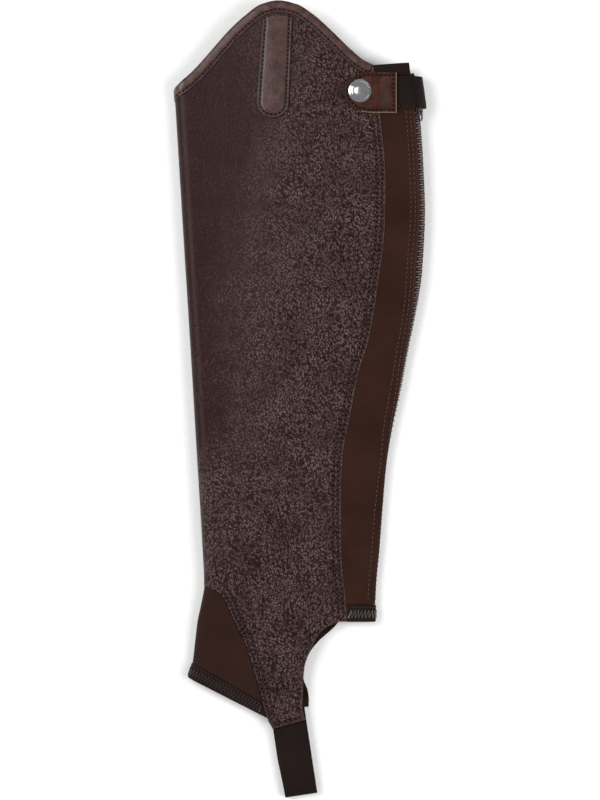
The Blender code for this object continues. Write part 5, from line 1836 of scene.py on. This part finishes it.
@dataclass
class ZipFastener:
    """The zip: two tapes, the closed coil between them, the slider and its pull."""

    palette: Palette
    tape: Cloth = Cloth(-1.9, 0.6, 0.4, 0.2)
    under_coil: Cloth = Cloth(-1.5, 0.9, 0.4, 0.2)
    tape_width: float = 11.0
    top: float = 552.0
    inner_top: float = 540.5
    pivot_height: float = 523.1
    pivot_lift: float = 2.0
    chain_top: float = 4.2  # above the pull's pivot
    tapes_part: float = 9.0
    # A tooth: spacing on its own side, where it starts beside the middle, its head past it, and its slant.
    tooth_pitch: float = 3.9
    tooth_side: float = 2.6
    tooth_head: float = 1.0
    tooth_slant: float = 0.45
    coil_radius: float = 0.52
    coil_lift: float = -0.55
    wing_top: float = 1.1
    wing_thickness: float = 1.0
    core_depth: float = 3.0
    core_into_wing: float = 0.2
    crown_width: float = 2.2
    pull_half: float = 0.45
    edge_radius: float = 0.18
    wing_outline: tuple = ((-2.2, -3.4), (4.0, -4.5), (9.0, -4.6), (9.6, -3.9), (9.6, 3.9), (9.0, 4.6),
        (4.0, 4.5), (-2.2, 3.4), (-2.7, 2.6), (-2.7, -2.6))
    core_outline: tuple = ((4.6, -1.0), (8.4, -1.6), (8.8, 0.0), (8.4, 1.6), (4.6, 1.0))
    crown_outline: tuple = ((-1.85, -1.2), (-1.85, 1.0), (-1.3, 1.5), (5.6, 1.5), (7.6, -0.2), (7.6, -1.2),
        (6.5, -1.2), (6.3, -0.4), (5.2, 0.8), (-0.95, 0.8), (-0.95, -1.2))
    pull_outline: tuple = ((0.45, -2.9), (0.45, 2.9), (-6.0, 2.9), (-7.4, 2.2), (-8.0, 0.9),
        (-8.0, -0.9), (-7.4, -2.2), (-6.0, -2.9))
    pull_holes: tuple = (((-2.9, -1.5), (-0.45, -1.5), (-0.45, 1.5), (-2.9, 1.5)),
        ((-6.8, -1.5), (-3.9, -1.5), (-3.9, 1.5), (-6.8, 1.5)))

    def build(self) -> None:
        """Make the tapes, the coil, the slider and the pull."""
        near, far = CHAIN_HALF_WIDTH + SEAM_GAP, CHAIN_HALF_WIDTH + self.tape_width
        part = self.pivot_height + self.tapes_part
        closed = heights(ZIP_BOTTOM, part)
        cloth = self.palette.tape
        rows = heights(ZIP_BOTTOM, self.pivot_height + self.chain_top)
        outline = [zip_over(h, CHAIN_HALF_WIDTH) for h in rows] + [zip_over(h, -CHAIN_HALF_WIDTH)
            for h in rows[::-1]]
        middle = Panel("zip_tape_middle", (), "zip_tape", outline, self.under_coil, cloth, cloth, 1.5).build()
        for name, node, side, top, trims in (
                ("zip_tape_outer_strip", "zip_tape_outer", -1.0, self.top, (middle,)),
                ("zip_tape_inner_strip", "zip_tape_inner", 1.0, self.inner_top, ())):
            parted = heights(part + 1.0, top)
            outline = [zip_over(h, side * near) for h in closed] + [zip_over(h, side * SEAM_GAP)
                for h in parted]
            outline += [zip_over(h, side * far) for h in (closed + parted)[::-1]]
            tape = Panel(name, (node,), "zip_tape", outline, self.tape, cloth,
                cloth, 2.2, strip=self.tape_width - SEAM_GAP)
            tape.build()
            tape.declare(*trims)
        self.build_coil()
        self.build_slider()
        self.build_pull()

    def build_coil(self) -> None:
        """Two rows of coil teeth that mesh along the zip's middle."""
        low, high = ZIP_BOTTOM + 1.0, self.pivot_height + self.chain_top - 1.0
        line = np.array([zip_over(h) for h in np.arange(low, high, self.tooth_pitch / 2)])
        on = lay(line[:, 0], line[:, 1], self.coil_lift)
        across = unit(lay(line[:, 0] + 1.0, line[:, 1], self.coil_lift) - on)
        across[::2] *= -1.0
        mesh = baked("zip_coil_teeth", on, [], {"tangent": across, "normal": normals(line[:, 0], line[:, 1])},
            coil_tree(), {"Side": self.tooth_side * MM, "Head": self.tooth_head * MM,
            "Slant": self.tooth_slant * MM, "Radius": self.coil_radius * MM, "Nylon": self.palette.coil})
        mesh_object("zip_coil_teeth", mesh, [], nodes=("zip_chain",))

    def plate(self, outline: tuple, width: float, holes: tuple = ()) -> Mesh:
        """A flat outline of (along, up) points with rounded edges, its width across, as a mesh.

        Args:
            outline: its points.
            width: how wide it is.
            holes: outlines of its openings.

        Returns:
            The mesh.
        """
        curve = bpy.data.curves.new("plate", "CURVE")
        curve.dimensions = "2D"
        curve.fill_mode = "BOTH"
        curve.bevel_depth = self.edge_radius * MM
        curve.bevel_resolution = 2
        curve.offset = -self.edge_radius * MM
        curve.extrude = (width / 2 - self.edge_radius) * MM
        for points in (outline, *holes):
            spline = curve.splines.new("POLY")
            spline.points.add(len(points) - 1)
            for point, (along, up) in zip(spline.points, points):
                point.co = (along * MM, up * MM, 0.0, 1.0)
            spline.use_cyclic_u = True
        guide = placed("plate", curve)
        mesh = bpy.data.meshes.new_from_object(guide.evaluated_get(bpy.context.evaluated_depsgraph_get()))
        bpy.data.objects.remove(guide)
        closed = bmesh.new()
        closed.from_mesh(mesh)
        return merged(closed, mesh)

    def build_slider(self) -> None:
        """A wing that tapers down the zip, a core that parts the coil, and a crown that holds the pull."""
        quarter = Matrix.Rotation(math.pi / 2, 4, "Z")
        top = self.wing_top - self.pivot_lift
        wing = self.plate(self.wing_outline, self.wing_thickness)
        wing.transform(Matrix.Translation((0.0, 0.0, (top - self.wing_thickness / 2) * MM)) @ quarter)
        crown = self.plate(self.crown_outline, self.crown_width)
        crown.transform(Matrix(((0, 0, 1, 0), (1, 0, 0, 0), (0, 1, 0, 0), (0, 0, 0, 1))))
        core = self.plate(self.core_outline, self.core_depth)
        middle = top - self.wing_thickness + self.core_into_wing - self.core_depth / 2
        core.transform(Matrix.Translation((0.0, 0.0, middle * MM)) @ quarter)
        joined = bmesh.new()
        for mesh in (wing, crown, core):
            joined.from_mesh(mesh)
        mesh = bpy.data.meshes.new("zip_slider_body")
        joined.to_mesh(mesh)
        joined.free()
        self.place_hard(mesh, "zip_slider_body", "zip_slider", BODY)

    def build_pull(self) -> None:
        """A small flat pull: an eye round the crown, and a long hole below it."""
        mesh = self.plate(self.pull_outline, 2 * self.pull_half, self.pull_holes)
        mesh.transform(Matrix.Rotation(math.pi / 2, 4, "Z"))
        self.place_hard(mesh, "zip_pull_loop", "zip_pull", PULL_BODY)

    def place_hard(self, mesh: Mesh, name: str, node: str, body: str) -> None:
        """Put a mesh that is made in the slider's own frame where the slider is.

        Args:
            mesh: the mesh.
            name: the piece's name.
            node: the solid that it stands for.
            body: the body that it rides.
        """
        mesh.transform(surface_frame(*zip_over(self.pivot_height), self.pivot_lift))
        mesh.shade_smooth()
        mesh.set_sharp_from_angle(angle=ZIP_CORNER)
        mesh_object(name, mesh, [self.palette.enamel], body, (node,))


@dataclass
class SnapStrap:
    """The elastic strap over the zip, the leather tab on its end, and the press snap."""

    palette: Palette
    sewing: Sewing
    strap: Cloth = Cloth(1.7, 1.4, 0.5, 0.4)
    tab: Cloth = Cloth(3.4, 1.4, 0.6, 0.45)
    strap_width: float = 24.0
    strap_middle: float = 536.8
    strap_start: float = 158.0
    strap_past_edge: float = 5.6
    rise: float = 4.0
    rise_flat: float = 5.5
    reach_over: float = 14.0
    reach_under: float = 10.5
    tab_end: float = 169.6
    tab_round: float = 150.0
    tab_length: float = 39.8
    tab_half: float = 15.4
    tab_middle: float = 536.3
    tab_row: float = 2.1
    tab_creases: tuple = ((157.2, 2.6, -0.40), (164.2, 3.6, 0.45))  # x, width and rise of each
    nose_steps: int = 36
    cap_steps: int = 96
    stud_steps: int = 48
    snap: Point = Point(141.3, 537.4)
    cap: tuple = ((0.0, 6.5), (1.6, 6.48), (3.2, 6.41), (4.6, 6.26), (5.8, 6.02), (6.6, 5.74),
        (7.1, 5.40), (7.35, 5.05), (7.6, 4.92), (8.2, 4.78), (8.6, 4.6), (8.85, 4.3), (8.88, 3.95),
        (8.6, 3.7), (2.2, 3.7), (2.2, 2.1), (0.0, 2.1))
    stud: tuple = ((0.0, 1.8), (3.4, 1.8), (4.2, 1.72), (4.8, 1.5),
        (5.2, 1.15), (5.4, 0.8), (5.4, 0.3), (0.0, 0.3))

    def strap_rise(self, girth: Array, height: Array) -> Array:
        """How far the strap rises over the slider, from the tab and down again behind the zip.

        Args:
            girth: the way round of each point.
            height: its height.

        Returns:
            The rise of each.
        """
        away = girth - (Section(height).back + zip_past_edge(height))
        reach = np.where(away < 0.0, self.reach_over, self.reach_under)
        t = np.clip((np.abs(away) - self.rise_flat) / (reach - self.rise_flat), 0.0, 1.0)
        return self.rise * (1.0 - t * t * (3.0 - 2.0 * t))

    def tab_rise(self, girth: Array, height: Array) -> Array:
        """How far the tab rises: a trough where it bends, and a ridge over the strap's sewn end.

        Args:
            girth: the way round of each point.
            height: its height.

        Returns:
            The rise of each.
        """
        section = Section(height)
        x = section.left + girth - section.quarter
        return sum(rise * np.exp(-(((x - middle) / width) ** 2)) for middle, width, rise in self.tab_creases)

    def tab_outline(self, inset: float = 0.0) -> Line:
        """Outline of the tab from its square end round its nose, or a line inside it.

        Args:
            inset: how far inside the line runs.

        Returns:
            The outline or line.
        """
        nose = self.tab_round - self.tab_end + self.tab_length - inset
        half = self.tab_half - inset
        line = [over(self.tab_end - inset, self.tab_middle + half)]
        for i in range(self.nose_steps + 1):
            angle = math.pi / 2 + math.pi * i / self.nose_steps
            line.append(over(self.tab_round + nose * math.cos(angle),
                self.tab_middle + half * math.sin(angle)))
        return line + [over(self.tab_end - inset, self.tab_middle - half)]

    def build(self) -> None:
        """Make the strap, the tab and the snap."""
        finishes = self.palette
        low, high = (self.strap_middle + side * self.strap_width / 2 for side in (-1.0, 1.0))
        ends = [float(Section(h).back) + self.strap_past_edge for h in (low, high)]
        outline = [over(self.strap_start, low), (ends[0], low), (ends[1], high), over(self.strap_start, high)]
        strap = Panel("snap_strap_elastic", ("strap_elastic",), "elastic", outline, self.strap,
            finishes.elastic, finishes.elastic, 0.9, rise=self.strap_rise, held="stretched",
            rows=(Row(Style.DARK, [(outline[0][0] + 12.0, low + 1.3), (ends[0] - 1.0, low + 1.3)]),))
        inset, outline = self.tab_outline(self.tab_row), self.tab_outline()
        tab = Panel("snap_tab_leather", ("snap_tab",), "tab_leather", outline, self.tab, finishes.tab,
            finishes.flesh, 0.8, (Row(Style.DARK, inset), Row(Style.DARK, [inset[-1], inset[0]])),
            outline[-6:] + outline[:1], rise=self.tab_rise, crown=0.2, crown_reach=3.5)
        for panel, below in ((strap, ()), (tab, ("outer_leather_panel",))):
            panel.build()
            self.sewing.sew(panel)
            panel.declare(rests_on=below)
        self.turn("snap_cap_dome", "snap_cap", self.cap, self.cap_steps, finishes.chrome)
        self.turn("snap_stud_base", "snap_stud", self.stud, self.stud_steps, finishes.nickel)

    def turn(self, name: str, node: str, profile: tuple, steps: int, finish: Material) -> None:
        """Turn a profile of (radius, height) on the snap's axis.

        Args:
            name: the piece's name.
            node: the solid that it stands for.
            profile: the (radius, height) points.
            steps: how many sides the round has.
            finish: its material.
        """
        shape = bmesh.new()
        points = [shape.verts.new((radius * MM, 0.0, height * MM)) for radius, height in profile]
        edges = [shape.edges.new(pair) for pair in zip(points, points[1:])]
        bmesh.ops.spin(shape, geom=points + edges, axis=(0.0, 0.0, 1.0),
            cent=(0.0, 0.0, 0.0), angle=2.0 * math.pi, steps=steps)
        mesh = merged(shape, bpy.data.meshes.new(name))
        mesh.transform(surface_frame(*over(self.snap.x, self.snap.height), 0.0))
        mesh.shade_smooth()
        mesh.set_sharp_from_angle(angle=SNAP_CORNER)
        mesh_object(name, mesh, [finish], nodes=(node,))


@dataclass
class Stirrup:
    """The elastic loop under the boot, folded flat, its ends sewn behind the two tongues."""

    palette: Palette
    width: float = 24.8
    thickness: float = 1.5
    lean: float = 8.6
    fold_middle: Point = Point(96.8, 1.9)
    fold_radius: float = 3.6
    upper_end: float = 74.0
    sag: Point = Point(14.0, 0.5)
    tongue_gap: float = 0.1
    on_floor: tuple = (0.0, 25.0, 52.0)
    on_tongue: tuple = (60.0, 86.0)
    leather: float = 1.5
    edge_round: float = 0.5
    drift: float = 1.4  # how far the lower run lies to the left of the upper one, past their fold

    def path(self) -> list[tuple[float, float]]:
        """Middle line of the loop, from the outer tongue down to its fold and back, as (along, up).

        Returns:
            The path's points.
        """
        half = self.thickness / 2
        inside = self.leather + SEAM_GAP + half

        def below_tongue(height: float) -> float:
            """Height above the floor of the elastic where it lies under the outer tongue."""
            place = lay(*over(self.fold_middle.x, height), creased=False)[0]
            return place[2] / MM - inside - self.tongue_gap

        radius = self.fold_radius - half
        fold_top = 2 * radius + half
        tongue_end = TONGUE_FRONT[-1].height
        run = SmoothCurve([(0.0, fold_top), (self.sag.x, fold_top + self.sag.height),
            (tongue_end, below_tongue(tongue_end)), (self.upper_end, below_tongue(self.upper_end))])
        path = [(along, float(run(along))) for along in heights(self.upper_end, 0.0, 2.5)]
        for i in range(1, 16):
            angle = math.pi / 2 + math.pi * i / 16
            path.append((radius * math.cos(angle), radius + half + radius * math.sin(angle)))
        path += [(along, half) for along in heights(0.0, self.on_floor[-1], 2.5)]
        on_leather = self.leather + SEAM_GAP + half
        step = SmoothCurve([(self.on_floor[-1], half), (self.on_tongue[0], on_leather)])
        path += [(along, float(step(along)))
            for along in heights(self.on_floor[-1], self.on_tongue[0], 2.0)[1:]]
        return path + [(along, on_leather) for along in heights(*self.on_tongue, 2.5)[1:]]

    def build(self) -> None:
        """Sweep the elastic's rounded section along its path."""
        path = np.array(self.path())
        along = unit(np.gradient(path, axis=0))
        sides = np.column_stack((-along[:, 1], along[:, 0]))
        half_w, half_t, soft = self.width / 2, self.thickness / 2, self.edge_round
        across = [half_w, half_w - soft * 0.4, half_w - soft, *np.linspace(half_w - 2.0, -half_w + 2.0, 18),
            -half_w + soft, -half_w + soft * 0.4, -half_w]
        thick = [half_t * part for part in (0.35, 0.8, 1.0, *[1.0] * 18, 1.0, 0.8, 0.35)]
        section = list(zip(across, thick)) + [(a, -t) for a, t in list(zip(across, thick))[::-1]]
        lengths = np.concatenate(([0.0], np.cumsum(np.linalg.norm(np.diff(path, axis=0), axis=1))))
        low = (self.fold_middle.height + self.fold_radius - FOOTPRINT_LENGTH / 2) * MM
        base = Vector(((self.fold_middle.x - FOOTPRINT_WIDTH / 2) * MM, low, 0.0))
        lean = math.radians(self.lean)
        ahead, aside = Vector((-math.sin(lean), math.cos(lean),
            0.0)), Vector((math.cos(lean), math.sin(lean), 0.0))
        up = Vector((0.0, 0.0, 1.0))
        place, pattern = [], []
        fold = int(np.argmin(path[:, 0]))
        for ring, ((run, rise), side, length) in enumerate(zip(path, sides, lengths)):
            moved = -self.drift * min(1.0, max(0.0, run) / self.on_floor[1]) if ring > fold else 0.0
            for out, deep in section:
                point = ahead * (run + side[0] * deep) + up * (rise + side[1] * deep) + aside * (out + moved)
                point = base + point * MM
                place.append(tuple(point))
                pattern.append((length, out))
        count, rings = len(section), len(path)
        quads = [(r * count + k, r * count + (k + 1) % count, (r + 1) * count + (k + 1) % count,
            (r + 1) * count + k) for r in range(rings - 1) for k in range(count)]
        half = count // 2
        for ring, flip in ((0, True), (rings - 1, False)):
            for k in range(half - 1):
                cap = (ring * count + k, ring * count + k + 1,
                    ring * count + count - 2 - k, ring * count + count - 1 - k)
                quads.append(cap[::-1] if flip else cap)
        mesh = pattern_mesh("stirrup_elastic_loop", np.array(place), np.array(pattern),
            np.zeros((0, 3), int), np.array(quads), np.zeros(len(quads)))
        shape = bmesh.new()
        shape.from_mesh(mesh)
        bmesh.ops.recalc_face_normals(shape, faces=shape.faces)
        shape.to_mesh(mesh)
        shape.free()
        thing = mesh_object("stirrup_elastic_loop", mesh,
            [self.palette.elastic], nodes=("stirrup_elastic",))


class Lamp(NamedTuple):
    """A softbox: its place and size in metres, and its power in watts."""

    name: str
    place: tuple[float, float, float]
    width: float
    length: float
    power: float
    mirrored: bool = True  # False where it only fills, behind a diffuser that shows in no shiny surface


@dataclass
class Studio:
    """A pale floor, soft lights and a camera straight above."""

    view_length: float = 608.0  # what the picture's long side takes in (mm)
    lens: float = 200.0
    sensor: float = 36.0
    middle_height: float = 12.0
    floor_size: float = 8.0
    floor_drop: float = 0.4
    floor_colour: str = "#fafafa"
    floor_fleck: str = "#fdfdfd"
    far: float = 50.0  # how far the camera sees (m)
    sky: float = 0.30
    lamps: tuple[Lamp, ...] = (
        Lamp("overhead_softbox", (0.065, 0.38, 2.1), 0.5, 0.5, 2.0), Lamp("left_softbox", (-1.35, 0.5, 1.5),
        1.3, 1.6, 35.0), Lamp("right_fill", (1.4, -0.3, 1.5), 1.3, 1.6, 31.0, False),
    )

    def build(self) -> None:
        """Make the floor, the lights and the camera."""
        mesh = bpy.data.meshes.new("studio_floor")
        half, low = self.floor_size / 2, -self.floor_drop * MM
        mesh.from_pydata([(-half, -half, low), (half, -half, low), (half, half, low), (-half, half, low)],
            [], [(0, 1, 2, 3)])
        # White paper, matt, with the faint fleck of its pulp.
        paper = PlainFinish(name="matt_paper_sweep", colour=self.floor_colour, mark=self.floor_fleck,
            roughness=0.95, shine=0.1, mark_size=4.0)
        mesh.materials.append(paper.build())
        floor = placed("studio_floor", mesh)
        floor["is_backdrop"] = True
        for lamp in self.lamps:
            self.light(lamp)
        world = bpy.data.worlds.new("studio_world")
        world.use_nodes = True
        background = world.node_tree.nodes["Background"]
        background.inputs["Color"].default_value = (1.0, 1.0, 1.0, 1.0)
        background.inputs["Strength"].default_value = self.sky
        bpy.context.scene.world = world
        camera = bpy.data.cameras.new("overhead_camera")
        camera.lens = self.lens
        camera.sensor_width = self.sensor
        camera.clip_end = self.far
        seer = placed("overhead_camera", camera)
        seer.location = (0.0, 0.0, (self.view_length * self.lens / self.sensor + self.middle_height) * MM)
        bpy.context.scene.camera = seer
        bpy.context.scene.view_settings.view_transform = "Standard"

    def light(self, lamp: Lamp) -> None:
        """Add a soft rectangular light that faces the gaiter and doesn't show to the camera.

        Args:
            lamp: the softbox.
        """
        area = bpy.data.lights.new(lamp.name, "AREA")
        area.shape = "RECTANGLE"
        area.size, area.size_y, area.energy = lamp.width, lamp.length, lamp.power
        thing = placed(lamp.name, area)
        thing.location = lamp.place
        thing.rotation_mode = "QUATERNION"
        thing.rotation_quaternion = (-Vector(lamp.place)).to_track_quat("-Z", "Y")
        thing.visible_camera = False
        thing.visible_glossy = lamp.mirrored


def corners() -> list[list[float]]:
    """The shown object's lowest and highest corner as plain lists."""
    return [list(corner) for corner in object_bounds()]


def main() -> None:
    """Build the gaiter's pieces and the studio."""
    logging.basicConfig(level=logging.INFO, format="%(name)s: %(message)s")
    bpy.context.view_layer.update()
    Studio().build()
    palette = Palette()
    sewing = Sewing(palette)
    legs = LegPanels(palette, sewing)
    legs.build()
    TopEdge(palette, sewing, legs).build()
    AnkleTrim(palette, sewing).build()
    ZipFastener(palette).build()
    SnapStrap(palette, sewing).build()
    Stirrup(palette).build()
    sewing.build()


if __name__ == "__main__":
    main()
